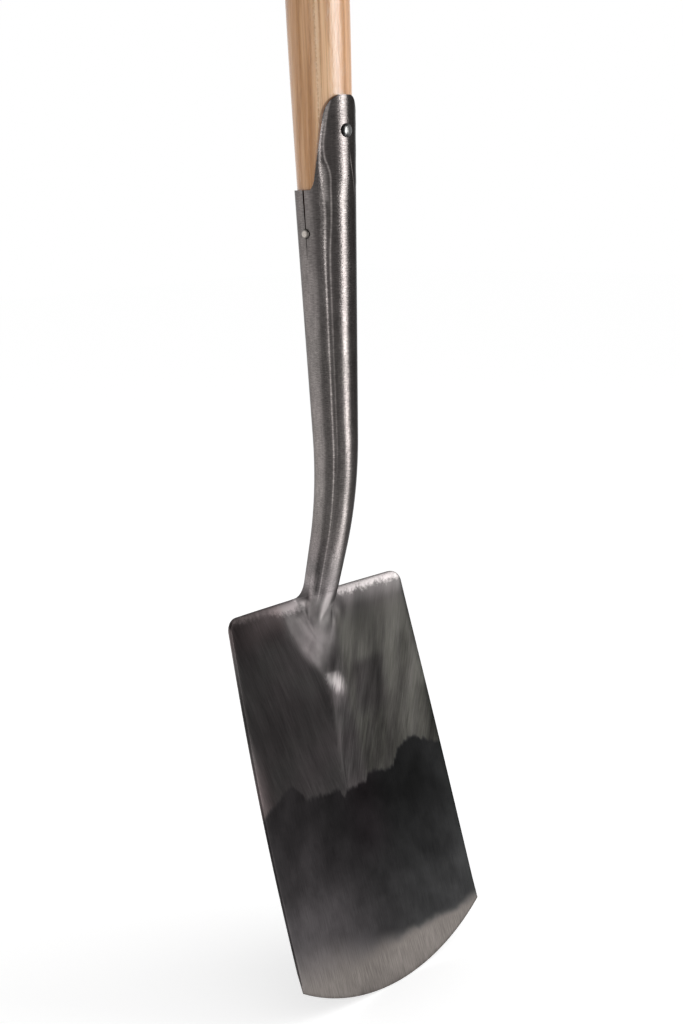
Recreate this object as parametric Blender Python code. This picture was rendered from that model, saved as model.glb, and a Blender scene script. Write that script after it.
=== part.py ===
"""A digging spade: forged dished blade, cranked rolled socket with a tongue, ash shaft, T-shaped grip.

Metres, +Z up along the shaft, the blade's working face towards -Y. The origin lies on the shaft's axis,
level with the lowest point of the cutting edge.
"""

import math

import bmesh
import bpy
from mathutils import Vector

# Clearance between pieces that touch
GAP = 0.0003

# Blade
BLADE_TOP_WIDTH = 0.1712
BLADE_EDGE_WIDTH = 0.1824
BLADE_SIDE_LENGTH = 0.2543
BLADE_SIDE_BOW = 0.0022
EDGE_SAGITTA = 0.0270
BLADE_CANT = math.radians(14.6)
BLADE_DISH_TOP = 0.0070
BLADE_DISH_EDGE = 0.0035
BLADE_HOLLOW = 0.0017
TREAD_THICKNESS = 0.0034
BLADE_THICKNESS = 0.0024
EDGE_THICKNESS = 0.0009
EDGE_BEVEL = 0.0140
CORNER_RADIUS = 0.0095
TREAD_ARRIS = 0.0010

# V-shaped boss that carries the neck down onto the blade
BOSS_LENGTH = 0.0590
BOSS_HALF_WIDTH = 0.0365
BOSS_HEIGHT = 0.0034
BOSS_EDGE = 0.0120
BOSS_TIP_RADIUS = 0.0040
BOSS_TOP_SLOPE = 0.42
NECK_SET_OUT = 0.0085
NECK_FLANK = 0.0024
NECK_FLANK_DRAFT = 3.0
NECK_BLEND = 0.0070
NECK_DIP = 0.0050
NECK_DIP_LENGTH = 0.0200
DIMPLE_DEPTH = 0.0009
DIMPLE_RADIUS = 0.0085

# Neck and socket, measured along their centreline down from the socket's rim
SOCKET_STRAIGHT = 0.1700
CRANK_RADIUS = 0.2820
CRANK_ANGLE = math.radians(16.5)
NECK_STRAIGHT = 0.0387
SOCKET_RIM_RADIUS = 0.0211
NECK_RADIUS = 0.0122
SOCKET_WALL = 0.0017
NECK_ROOT = 0.0180
NECK_FILLET = 0.0055
SPIGOT_LENGTH = 0.0160
SPIGOT_CHAMFER = 0.0010

# Tongue and seam slit of the socket
TONGUE_LENGTH = 0.0626
TONGUE_ROOT_HALF_WIDTH = 0.0250
TONGUE_TAPER = 0.155
TONGUE_FLARE = 0.0024
TONGUE_FLARE_LENGTH = 0.0060
TONGUE_NOSE_START = 0.0460
TONGUE_NOSE_POWER = 2.5
SLIT_WIDTH = 0.0015
SLIT_LENGTH = 0.0480

# Shaft
SHAFT_SEAT = 0.1640
SHAFT_SWELL_RADIUS = 0.0220
SHAFT_SWELL_HEIGHT = 0.1700
SHAFT_TOP_RADIUS = 0.0172
SHAFT_LENGTH_ABOVE_RIM = 0.5400
SHAFT_TIP_CHAMFER = 0.0020
TENON_RADIUS = 0.0110

# Grip
GRIP_LENGTH = 0.1250
GRIP_RADIUS = 0.0180
GRIP_END_RADIUS = 0.0155
GRIP_END_ROUND = 0.0060
WEDGE_THICKNESS = 0.0032
WEDGE_TIP = 0.0012
WEDGE_DEPTH = 0.0130
PIN_RADIUS = 0.0022

# Rivet, washer and nail
RIVET_HEIGHT = 0.0388
RIVET_HEAD_RADIUS = 0.0046
RIVET_HEAD_HEIGHT = 0.0018
RIVET_SHANK_RADIUS = 0.0021
RIVET_TAIL_RADIUS = 0.0034
RIVET_TAIL_HEIGHT = 0.0016
WASHER_RADIUS = 0.0060
WASHER_THICKNESS = 0.0012
NAIL_DEPTH_BELOW_RIM = 0.0293
NAIL_HEAD_RADIUS = 0.0033
NAIL_HEAD_HEIGHT = 0.0016
NAIL_SHANK_RADIUS = 0.0014
NAIL_LENGTH = 0.0220

# Facets
SOCKET_COLUMNS = 40
TURNED_SIDES = 32
SMALL_SIDES = 16
CREST_COLUMNS = 4
FLANK_COLUMNS = 3
BOSS_COLUMNS = 5
SHOULDER_COLUMNS = 5
SMOOTH_ANGLE = math.radians(35)

# Lengths that follow from the sizes above
NECK_LENGTH = SOCKET_STRAIGHT + CRANK_RADIUS * CRANK_ANGLE + NECK_STRAIGHT
NECK_TAPER = (SOCKET_RIM_RADIUS - NECK_RADIUS) / NECK_LENGTH
BLADE_DOWN = Vector((0, -math.sin(BLADE_CANT), -math.cos(BLADE_CANT)))
BLADE_FRONT = Vector((0, -math.cos(BLADE_CANT), math.sin(BLADE_CANT)))
ACROSS = Vector((1, 0, 0))
NECK_LEAN = BLADE_CANT + CRANK_ANGLE
CREST_HEIGHT = NECK_SET_OUT + NECK_RADIUS / math.cos(NECK_LEAN)
NECK_FOOT_HALF_WIDTH = NECK_RADIUS + NECK_FLANK


def clear_scene():
    for thing in list(bpy.data.objects):
        bpy.data.objects.remove(thing, do_unlink=True)


def material(name, colour, roughness, metallic):
    made = bpy.data.materials.new(name)
    made.use_nodes = True
    shader = made.node_tree.nodes["Principled BSDF"]
    shader.inputs["Base Color"].default_value = (*colour, 1)
    shader.inputs["Roughness"].default_value = roughness
    shader.inputs["Metallic"].default_value = metallic
    return made


def add_object(name, bm, surface, parent, location=(0, 0, 0)):
    bmesh.ops.recalc_face_normals(bm, faces=bm.faces)
    mesh = bpy.data.meshes.new(name)
    bm.to_mesh(mesh)
    bm.free()
    mesh.shade_smooth()
    mesh.set_sharp_from_angle(angle=SMOOTH_ANGLE)
    if surface:
        mesh.materials.append(surface)
    made = bpy.data.objects.new(name, mesh)
    bpy.context.collection.objects.link(made)
    made.parent = parent
    made.location = location
    return made


def add_cutter(name, bm, parent, location=(0, 0, 0)):
    made = add_object(name, bm, None, parent, location)
    made.hide_render = True
    made.display_type = "WIRE"
    return made


def boolean(target, tool, operation="DIFFERENCE"):
    step = target.modifiers.new(tool.name, "BOOLEAN")
    step.object = tool
    step.operation = operation
    step.solver = "EXACT"


def lerp(a, b, t):
    return a + (b - a) * t


def ease(t):
    t = min(max(t, 0), 1)
    return t * t * (3 - 2 * t)


def blend_max(a, b, width):
    """The larger of two heights, with a fillet where they are less than a width apart."""
    return max(a, b) + max(width - abs(a - b), 0) ** 2 / (4 * width)


def bridge(bm, lower, upper, closed):
    count = len(lower)
    for i in range(count if closed else count - 1):
        k = (i + 1) % count
        bm.faces.new((lower[i], lower[k], upper[k], upper[i]))


def turned(bm, profile, sides, axis="Z"):
    """Adds a closed solid turned about an axis from (radius, height) points; a zero radius closes an end."""
    rings = []
    for radius, height in profile:
        ring = []
        for i in range(1 if radius == 0 else sides):
            a = 2 * math.pi * i / sides
            u, v = radius * math.cos(a), radius * math.sin(a)
            point = {"Z": (u, v, height), "X": (height, u, v), "Y": (v, height, u)}[axis]
            ring.append(bm.verts.new(point))
        rings.append(ring)
    for low, high in zip(rings, rings[1:]):
        if len(low) == 1 or len(high) == 1:
            tip, ring = (low[0], high) if len(low) == 1 else (high[0], low)
            for i in range(sides):
                bm.faces.new((tip, ring[i], ring[(i + 1) % sides]))
        else:
            bridge(bm, low, high, closed=True)
    return bm


def neck_frame(distance):
    """Centre, forward direction and downward direction of the neck at a distance below the socket's rim."""
    arc = CRANK_RADIUS * CRANK_ANGLE
    angle = min(max(distance - SOCKET_STRAIGHT, 0), arc) / CRANK_RADIUS
    beyond = max(distance - SOCKET_STRAIGHT - arc, 0)
    y = CRANK_RADIUS * (1 - math.cos(angle)) + beyond * math.sin(angle)
    z = -min(distance, SOCKET_STRAIGHT) - CRANK_RADIUS * math.sin(angle) - beyond * math.cos(angle)
    forward = Vector((0, -math.cos(angle), -math.sin(angle)))
    down = Vector((0, math.sin(angle), -math.cos(angle)))
    return Vector((0, y, z)), forward, down


def socket_radius(distance):
    return SOCKET_RIM_RADIUS - NECK_TAPER * distance


def bore_radius(distance):
    return socket_radius(distance) - SOCKET_WALL


def blade_top_point():
    """Middle of the blade's top edge on its front face, set back from the end of the neck's centreline."""
    centre, _, _ = neck_frame(NECK_LENGTH)
    return centre - BLADE_FRONT * NECK_SET_OUT


def blade_point(x, s, h):
    """A point x across the blade, s down from its top edge and h in front of the middle of its front face."""
    return blade_top_point() + ACROSS * x + BLADE_DOWN * s + BLADE_FRONT * h


def blade_half_width(s):
    t = min(s / BLADE_SIDE_LENGTH, 1)
    half = lerp(BLADE_TOP_WIDTH, BLADE_EDGE_WIDTH, t) / 2 + BLADE_SIDE_BOW * math.sin(math.pi * t)
    if s < CORNER_RADIUS:
        half -= CORNER_RADIUS - math.sqrt(CORNER_RADIUS**2 - (CORNER_RADIUS - s) ** 2)
    return half


def edge_drop(x):
    """How far the cutting edge's arc lies below its corners at x."""
    half = BLADE_EDGE_WIDTH / 2
    radius = (half**2 + EDGE_SAGITTA**2) / (2 * EDGE_SAGITTA)
    return math.sqrt(radius**2 - min(abs(x), half) ** 2) - (radius - EDGE_SAGITTA)


def crest_height(s):
    """Height of the neck's front line over the blade as the neck curves down into it."""
    return CREST_HEIGHT - s * math.tan(NECK_LEAN) - NECK_DIP * ease(s / NECK_DIP_LENGTH)


def crest_half_width(s):
    """Half the neck's width where it sinks into the blade."""
    depth = min(max(crest_height(s) * math.cos(NECK_LEAN) / NECK_RADIUS, 0), 1)
    return NECK_RADIUS * math.sqrt(1 - (1 - depth) ** 2)


def neck_rise(x, s):
    """Height of the round neck over the blade, with slightly sloping flanks below its middle."""
    inside = min(abs(x), NECK_RADIUS)
    drop = (NECK_RADIUS - math.sqrt(NECK_RADIUS**2 - inside**2)) / math.cos(NECK_LEAN)
    return crest_height(s) - drop - (abs(x) - inside) * NECK_FLANK_DRAFT


def boss_half_width(s):
    return BOSS_HALF_WIDTH * (1 - s / BOSS_LENGTH)


def boss_rise(x, s):
    """Height of the V-shaped boss over the blade: a low pad with soft edges."""
    side_angle = math.atan(BOSS_HALF_WIDTH / BOSS_LENGTH)
    across = math.hypot(x, BOSS_TIP_RADIUS) - BOSS_TIP_RADIUS
    side = (boss_half_width(s) - across) * math.cos(side_angle)
    top_angle = math.atan(BOSS_TOP_SLOPE)
    top = (s - (abs(x) - NECK_RADIUS) * BOSS_TOP_SLOPE) * math.cos(top_angle)
    return BOSS_HEIGHT * ease(side / BOSS_EDGE) * ease(top / BOSS_EDGE)


def front_rise(x, s):
    """Everything that stands on the dished plate: the boss and the neck, with a fillet between them."""
    if s >= BOSS_LENGTH:
        return 0.0
    width = NECK_BLEND * min(1, (BOSS_LENGTH - s) / NECK_BLEND)
    return blend_max(neck_rise(x, s), boss_rise(x, s), width)


def blade_front(x, s):
    t = min(s / BLADE_SIDE_LENGTH, 1)
    dish = lerp(BLADE_DISH_TOP, BLADE_DISH_EDGE, t)
    middle = BLADE_DISH_TOP - dish - BLADE_HOLLOW * 4 * t * (1 - t)
    reach = math.hypot(x, s - BOSS_LENGTH - DIMPLE_RADIUS) / DIMPLE_RADIUS
    dimple = DIMPLE_DEPTH * math.exp(-reach * reach)
    side = (x / blade_half_width(max(s, CORNER_RADIUS))) ** 2
    return middle + dish * side - dimple + front_rise(x, s)


def blade_thickness(s, to_edge):
    plate = lerp(TREAD_THICKNESS, BLADE_THICKNESS, ease(s / BLADE_SIDE_LENGTH))
    return lerp(EDGE_THICKNESS, plate, min(to_edge / EDGE_BEVEL, 1))


def blade_columns(s):
    """Column positions across the blade: over the neck's crest, its flanks, the boss and the shoulders."""
    crest = max(crest_half_width(s), NECK_RADIUS / 2)
    flank = crest + NECK_FLANK
    boss = max(boss_half_width(s), flank + NECK_FLANK)
    half = blade_half_width(s)
    right = [crest * math.sin(math.pi / 2 * i / CREST_COLUMNS) for i in range(1, CREST_COLUMNS + 1)]
    right += [lerp(crest, flank, i / FLANK_COLUMNS) for i in range(1, FLANK_COLUMNS + 1)]
    right += [lerp(flank, boss, i / BOSS_COLUMNS) for i in range(1, BOSS_COLUMNS + 1)]
    right += [lerp(boss, half, i / SHOULDER_COLUMNS) for i in range(1, SHOULDER_COLUMNS + 1)]
    return [-x for x in reversed(right)] + [0] + right


def blade_rows():
    corner = [CORNER_RADIUS * (1 - math.cos(math.radians(a))) for a in (0, 27, 45, 63, 90)]
    boss = [lerp(CORNER_RADIUS, BOSS_LENGTH, i / 11) for i in range(1, 12)]
    dimple = [BOSS_LENGTH + DIMPLE_RADIUS * i for i in (0.5, 1, 1.5, 2.2)]
    start, end = dimple[-1], BLADE_SIDE_LENGTH - EDGE_BEVEL
    plain = [lerp(start, end, i / 5) for i in range(1, 6)]
    return corner + boss + dimple + plain + [BLADE_SIDE_LENGTH]


def make_blade(surface, parent):
    bm = bmesh.new()
    front, back = [], []
    for row, nominal in enumerate(blade_rows()):
        front_row, back_row = [], []
        for x in blade_columns(nominal):
            drop = edge_drop(x)
            s = nominal * (1 + drop / BLADE_SIDE_LENGTH)
            to_edge = BLADE_SIDE_LENGTH + drop - s
            arris = TREAD_ARRIS * ease(2 * (abs(x) / NECK_FOOT_HALF_WIDTH - 1)) if row == 0 else 0
            face = blade_front(x, nominal)
            rear = face - front_rise(x, nominal) - blade_thickness(nominal, to_edge)
            front_row.append(bm.verts.new(blade_point(x, s, face - arris)))
            back_row.append(bm.verts.new(blade_point(x, s, rear + arris)))
        front.append(front_row)
        back.append(back_row)
    for rows in (front, back):
        for upper, lower in zip(rows, rows[1:]):
            bridge(bm, upper, lower, closed=False)
    for side in (0, -1):
        bridge(bm, [row[side] for row in front], [row[side] for row in back], closed=False)
    bridge(bm, front[-1], back[-1], closed=False)
    first = SHOULDER_COLUMNS + BOSS_COLUMNS
    last = first + 2 * (FLANK_COLUMNS + CREST_COLUMNS) + 1
    bridge(bm, front[0][: first + 1], back[0][: first + 1], closed=False)
    bridge(bm, front[0][last - 1 :], back[0][last - 1 :], closed=False)
    foot = front[0][first:last] + back[0][first:last][::-1]
    add_neck_root(bm, foot)
    return add_object("blade", bm, surface, parent)


def neck_ring(distance, radius):
    """Points round the neck, front first, matching the order of the foot loop at the top of the blade."""
    centre, forward, _ = neck_frame(distance)
    wrap = math.radians(125)
    quarter = math.pi / 2
    right = [quarter * i / CREST_COLUMNS for i in range(CREST_COLUMNS + 1)]
    right += [lerp(quarter, wrap, i / FLANK_COLUMNS) for i in range(1, FLANK_COLUMNS + 1)]
    front = [-a for a in reversed(right[1:])] + right
    count = len(front)
    rest = 2 * (math.pi - wrap)
    rear = [wrap + rest * (i + 1) / (count + 1) for i in range(count)]
    return [centre + ACROSS * radius * math.sin(a) + forward * radius * math.cos(a) for a in front + rear]


def add_neck_root(bm, foot):
    """Carries the foot loop at the top of the blade up into the round neck and its spigot."""
    rings = [foot]
    meet = NECK_LENGTH - NECK_FILLET
    _, _, down = neck_frame(NECK_LENGTH)
    target = neck_ring(meet, socket_radius(meet))
    for angle in (math.radians(a) for a in (30, 60, 90)):
        ring = []
        for vert, goal in zip(foot, target):
            step = goal - vert.co
            along = down * (step.dot(BLADE_DOWN) / down.dot(BLADE_DOWN))
            place = vert.co + (step - along) * math.sin(angle) + along * (1 - math.cos(angle))
            ring.append(bm.verts.new(place))
        rings.append(ring)
    seat = NECK_LENGTH - NECK_ROOT
    spigot = bore_radius(seat) - GAP
    tip = seat - SPIGOT_LENGTH
    levels = [(seat, socket_radius(seat)), (seat, spigot), (tip + SPIGOT_CHAMFER, spigot)]
    levels.append((tip, spigot - SPIGOT_CHAMFER))
    for distance, radius in levels:
        rings.append([bm.verts.new(p) for p in neck_ring(distance, radius)])
    for low, high in zip(rings, rings[1:]):
        bridge(bm, low, high, closed=True)
    bm.faces.new(rings[-1])


def tongue_half_width(height):
    flare = TONGUE_FLARE * max(1 - height / TONGUE_FLARE_LENGTH, 0) ** 2
    t = max(height - TONGUE_NOSE_START, 0) / (TONGUE_LENGTH - TONGUE_NOSE_START)
    nose = max(1 - t**TONGUE_NOSE_POWER, 0) ** (1 / TONGUE_NOSE_POWER)
    return (TONGUE_ROOT_HALF_WIDTH - TONGUE_TAPER * height) * nose + flare


def sheet_points(bm, distance, azimuth):
    """Outer and inner points of the socket's wall; azimuth 0 faces forward."""
    centre, forward, _ = neck_frame(distance)
    way = ACROSS * math.sin(azimuth) + forward * math.cos(azimuth)
    outer = bm.verts.new(centre + way * socket_radius(distance))
    inner = bm.verts.new(centre + way * bore_radius(distance))
    return outer, inner


def socket_rows():
    seat = NECK_LENGTH - NECK_ROOT - GAP
    arc_end = SOCKET_STRAIGHT + CRANK_RADIUS * CRANK_ANGLE
    crank = [lerp(arc_end, SOCKET_STRAIGHT, i / 8) for i in range(9)]
    slit = [SLIT_LENGTH * f for f in (1, 0.8, 0.5, 0.25, 0)]
    return [seat] + crank + [(SOCKET_STRAIGHT + SLIT_LENGTH) / 2] + slit


def make_socket(surface, parent):
    """Rolled sheet: full rings up to the slit, an open ring up to the rim, then the tongue alone."""
    bm = bmesh.new()
    step = 2 * math.pi / SOCKET_COLUMNS
    rows = []
    for distance in socket_rows():
        half_slit = 0.5 * SLIT_WIDTH * max(1 - distance / SLIT_LENGTH, 0) / SOCKET_RIM_RADIUS
        azimuths = [-math.pi / 2 + step * i for i in range(SOCKET_COLUMNS + 1)]
        azimuths[0] += half_slit
        azimuths[-1] -= half_slit
        row = [sheet_points(bm, distance, a) for a in azimuths[:-1]]
        row.append(sheet_points(bm, distance, azimuths[-1]) if half_slit > 0 else row[0])
        rows.append(row)
    for low, high in zip(rows, rows[1:]):
        for side in (0, 1):
            bridge(bm, [p[side] for p in low], [p[side] for p in high], closed=False)
        if high[-1] is not high[0]:
            for end in (0, -1):
                bridge(bm, list(low[end]), list(high[end]), closed=False)
    for i in range(SOCKET_COLUMNS):
        bridge(bm, list(rows[0][i]), list(rows[0][i + 1]), closed=False)
    add_tongue(bm, rows[-1])
    socket = add_object("socket", bm, surface, parent)
    boolean(socket, rivet_hole_cutter("socket_rivet_hole", parent))
    boolean(socket, nail_hole_cutter("socket_nail_hole", parent))
    return socket


def add_tongue(bm, rim):
    root = TONGUE_FLARE + TONGUE_ROOT_HALF_WIDTH
    step = 2 * math.pi * SOCKET_RIM_RADIUS / SOCKET_COLUMNS
    half_columns = max(round(root / step), 2)
    middle = SOCKET_COLUMNS // 4
    first, last = middle - half_columns, middle + half_columns
    for i in list(range(first)) + list(range(last, SOCKET_COLUMNS)):
        bridge(bm, list(rim[i]), list(rim[i + 1]), closed=False)
    rows = [rim[first : last + 1]]
    flare = [TONGUE_FLARE_LENGTH * f for f in (0.2, 0.5, 1)]
    plain = [lerp(TONGUE_FLARE_LENGTH, TONGUE_NOSE_START, i / 4) for i in range(1, 5)]
    nose = TONGUE_LENGTH - TONGUE_NOSE_START
    bend = [TONGUE_NOSE_START + nose * f for f in (0.3, 0.55, 0.75, 0.88, 0.95, 0.985)]
    for height in flare + plain + bend:
        reach = tongue_half_width(height) / socket_radius(-height)
        count = last - first
        rows.append([sheet_points(bm, -height, reach * (2 * i / count - 1)) for i in range(count + 1)])
    for low, high in zip(rows, rows[1:]):
        for side in (0, 1):
            bridge(bm, [p[side] for p in low], [p[side] for p in high], closed=False)
        for end in (0, -1):
            bridge(bm, list(low[end]), list(high[end]), closed=False)
    top = rows[-1]
    for a, b in zip(top, top[1:]):
        bridge(bm, list(a), list(b), closed=False)


def rivet_hole_cutter(name, parent):
    """Through both the tongue and the shaft, front to back."""
    reach = SHAFT_SWELL_RADIUS + SOCKET_RIM_RADIUS
    radius = RIVET_SHANK_RADIUS + GAP
    bm = turned(bmesh.new(), [(0, -reach), (radius, -reach), (radius, reach), (0, reach)], SMALL_SIDES, "Y")
    return add_cutter(name, bm, parent, (0, 0, RIVET_HEIGHT))


def nail_hole_cutter(name, parent):
    """From outside the seam into the shaft, on the side of the slit."""
    start = -2 * SOCKET_RIM_RADIUS
    end = GAP + NAIL_LENGTH - socket_radius(NAIL_DEPTH_BELOW_RIM)
    radius = NAIL_SHANK_RADIUS + GAP
    bm = turned(bmesh.new(), [(0, start), (radius, start), (radius, end), (0, end)], SMALL_SIDES, "X")
    return add_cutter(name, bm, parent, (0, 0, -NAIL_DEPTH_BELOW_RIM))


def shaft_radius(height):
    """Radius of the shaft above the rim: it swells, then slims towards the grip."""
    rim = bore_radius(0) - GAP
    if height <= SHAFT_SWELL_HEIGHT:
        return lerp(rim, SHAFT_SWELL_RADIUS, math.sin(math.pi / 2 * height / SHAFT_SWELL_HEIGHT))
    t = (height - SHAFT_SWELL_HEIGHT) / (SHAFT_LENGTH_ABOVE_RIM - SHAFT_SWELL_HEIGHT)
    return lerp(SHAFT_SWELL_RADIUS, SHAFT_TOP_RADIUS, ease(t))


def grip_radius(x):
    t = min(abs(x) / (GRIP_LENGTH / 2), 1)
    return lerp(GRIP_RADIUS, GRIP_END_RADIUS, t * t)


def grip_profile(growth):
    """Barrel profile along the grip, grown all round by a clearance, with rounded ends."""
    half = GRIP_LENGTH / 2
    plain = half - GRIP_END_ROUND
    right = [(grip_radius(x) + growth, x) for x in (plain * i / 5 for i in range(6))]
    for a in (math.radians(d) for d in (25, 50, 72)):
        inset = GRIP_END_ROUND * (1 - math.cos(a))
        right.append((grip_radius(plain) - inset + growth, plain + GRIP_END_ROUND * math.sin(a)))
    right.append((0, half + growth))
    return [(r, -x) for r, x in reversed(right)][:-1] + right


def make_shaft(surface, parent):
    seat = bore_radius(SHAFT_SEAT) - GAP
    profile = [(0, -SHAFT_SEAT), (seat - SHAFT_TIP_CHAMFER, -SHAFT_SEAT)]
    profile.append((seat, SHAFT_TIP_CHAMFER - SHAFT_SEAT))
    heights = [SHAFT_SWELL_HEIGHT * i / 4 for i in range(5)]
    rest = SHAFT_LENGTH_ABOVE_RIM - SHAFT_SWELL_HEIGHT
    heights += [SHAFT_SWELL_HEIGHT + rest * i / 6 for i in range(1, 7)]
    profile += [(shaft_radius(h), h) for h in heights] + [(0, SHAFT_LENGTH_ABOVE_RIM)]
    shaft = add_object("shaft", turned(bmesh.new(), profile, TURNED_SIDES), surface, parent)

    saddle = turned(bmesh.new(), grip_profile(GAP), TURNED_SIDES, "X")
    boolean(shaft, add_cutter("shaft_saddle", saddle, parent, (0, 0, SHAFT_LENGTH_ABOVE_RIM)))
    low, top = -GRIP_RADIUS - TENON_RADIUS, GRIP_RADIUS
    tenon = turned(bmesh.new(), [(0, low), (TENON_RADIUS, low), (TENON_RADIUS, top), (0, top)], TURNED_SIDES)
    boolean(shaft, add_cutter("shaft_tenon", tenon, parent, (0, 0, SHAFT_LENGTH_ABOVE_RIM)), "UNION")
    kerf = wedge_shape(GAP, GRIP_RADIUS)
    boolean(shaft, add_cutter("shaft_kerf", kerf, parent, (0, 0, SHAFT_LENGTH_ABOVE_RIM)))
    boolean(shaft, pin_cutter("shaft_pin_hole", parent))
    boolean(shaft, rivet_hole_cutter("shaft_rivet_hole", parent))
    boolean(shaft, nail_hole_cutter("shaft_nail_hole", parent))
    return shaft


def wedge_shape(growth, over):
    """A wedge across the tenon, thin end down; growth is its clearance and over its height past the top."""
    bm = bmesh.new()
    depth = WEDGE_DEPTH + growth
    half_length = TENON_RADIUS * 0.9 if growth == 0 else 2 * TENON_RADIUS
    slope = (WEDGE_THICKNESS - WEDGE_TIP) / (2 * WEDGE_DEPTH)
    bottom, top = GRIP_RADIUS - depth, GRIP_RADIUS + over
    tip = WEDGE_TIP / 2 + growth
    head = tip + slope * (top - bottom)
    outline = [(-tip, bottom), (tip, bottom), (head, top), (-head, top)]
    ends = [[bm.verts.new((x, y, z)) for x, z in outline] for y in (-half_length, half_length)]
    bridge(bm, ends[0], ends[1], closed=True)
    bm.faces.new(ends[0])
    bm.faces.new(ends[1])
    return bm


def pin_cutter(name, parent):
    radius = PIN_RADIUS + GAP
    reach = 2 * GRIP_RADIUS
    bm = turned(bmesh.new(), [(0, -reach), (radius, -reach), (radius, reach), (0, reach)], SMALL_SIDES, "Y")
    return add_cutter(name, bm, parent, (0, 0, SHAFT_LENGTH_ABOVE_RIM))


def make_grip(surface, parent):
    place = (0, 0, SHAFT_LENGTH_ABOVE_RIM)
    grip = add_object("grip", turned(bmesh.new(), grip_profile(0), TURNED_SIDES, "X"), surface, parent, place)
    radius, reach = TENON_RADIUS + GAP, 2 * GRIP_RADIUS
    mortise = turned(bmesh.new(), [(0, -reach), (radius, -reach), (radius, reach), (0, reach)], TURNED_SIDES)
    boolean(grip, add_cutter("grip_mortise", mortise, parent, place))
    boolean(grip, pin_cutter("grip_pin_hole", parent))
    return grip


def make_grip_wedge(surface, parent):
    return add_object("grip_wedge", wedge_shape(0, 0), surface, parent, (0, 0, SHAFT_LENGTH_ABOVE_RIM))


def make_grip_pin(surface, parent):
    half = GRIP_RADIUS
    dome = PIN_RADIUS / 4
    profile = [(0, -half), (PIN_RADIUS, dome - half), (PIN_RADIUS, half - dome), (0, half)]
    bm = turned(bmesh.new(), profile, SMALL_SIDES, "Y")
    return add_object("grip_pin", bm, surface, parent, (0, 0, SHAFT_LENGTH_ABOVE_RIM))


def dome(radius, height, base, way):
    """Profile points of a low dome from its tip down to its rim; way is the side it bulges towards."""
    angles = (math.radians(a) for a in (0, 25, 48, 68, 84))
    points = [(radius * math.sin(a), base + way * height * math.cos(a)) for a in angles]
    return points + [(radius, base)]


def make_tongue_rivet(surface, parent):
    front = -socket_radius(-RIVET_HEIGHT - RIVET_HEAD_RADIUS) - GAP
    back = shaft_radius(RIVET_HEIGHT) + WASHER_THICKNESS + 2 * GAP
    shank = RIVET_SHANK_RADIUS
    head = dome(RIVET_HEAD_RADIUS, RIVET_HEAD_HEIGHT, front, -1)
    tail = dome(RIVET_TAIL_RADIUS, RIVET_TAIL_HEIGHT, back, 1)
    bm = turned(bmesh.new(), head + [(shank, front), (shank, back)] + tail[::-1], SMALL_SIDES, "Y")
    return add_object("tongue_rivet", bm, surface, parent, (0, 0, RIVET_HEIGHT))


def make_rivet_washer(surface, parent):
    inner, outer = RIVET_SHANK_RADIUS + GAP, WASHER_RADIUS
    low = shaft_radius(RIVET_HEIGHT) + GAP
    high = low + WASHER_THICKNESS
    profile = [(inner, low), (outer, low), (outer, high), (inner, high), (inner, low)]
    bm = turned(bmesh.new(), profile, 2 * SMALL_SIDES, "Y")
    bmesh.ops.remove_doubles(bm, verts=bm.verts, dist=GAP / 100)
    return add_object("rivet_washer", bm, surface, parent, (0, 0, RIVET_HEIGHT))


def make_seam_nail(surface, parent):
    seat = -socket_radius(NAIL_DEPTH_BELOW_RIM - NAIL_HEAD_RADIUS) - GAP
    head = dome(NAIL_HEAD_RADIUS, NAIL_HEAD_HEIGHT, seat, -1)
    shank = NAIL_SHANK_RADIUS
    end = seat + NAIL_LENGTH
    profile = head + [(shank, seat), (shank, end - 2 * shank), (0, end)]
    bm = turned(bmesh.new(), profile, SMALL_SIDES, "X")
    return add_object("seam_nail", bm, surface, parent, (0, 0, -NAIL_DEPTH_BELOW_RIM))


def rim_height():
    """Height of the socket's rim when the cutting edge's lowest point is at z = 0."""
    face = blade_front(0, BLADE_SIDE_LENGTH)
    tip = blade_point(0, BLADE_SIDE_LENGTH + EDGE_SAGITTA, face - EDGE_THICKNESS)
    return -tip.z


def main():
    clear_scene()
    steel = material("forged_steel", (0.16, 0.155, 0.15), 0.38, 1.0)
    tube = material("socket_steel", (0.22, 0.215, 0.21), 0.32, 1.0)
    bright = material("rivet_steel", (0.42, 0.42, 0.41), 0.25, 1.0)
    ash = material("ash", (0.63, 0.42, 0.24), 0.5, 0.0)
    dark_wood = material("wedge_wood", (0.36, 0.21, 0.11), 0.55, 0.0)

    rim = bpy.data.objects.new("rim_centre", None)
    bpy.context.collection.objects.link(rim)
    rim.location = (0, 0, rim_height())

    make_blade(steel, rim)
    make_socket(tube, rim)
    make_shaft(ash, rim)
    make_grip(ash, rim)
    make_grip_wedge(dark_wood, rim)
    make_grip_pin(bright, rim)
    make_tongue_rivet(bright, rim)
    make_rivet_washer(bright, rim)
    make_seam_nail(bright, rim)


main()
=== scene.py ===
"""Looks of a digging spade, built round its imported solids: steel head, ash shaft, grip, light and camera.

Metres, in the part's own frame: +Z up along the shaft, the blade's working face towards -Y.
"""

from math import atan, cos, exp, hypot, pi, radians, remainder, sin, sqrt, tan

import bmesh
import bpy
from mathutils import Matrix, Vector


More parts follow.
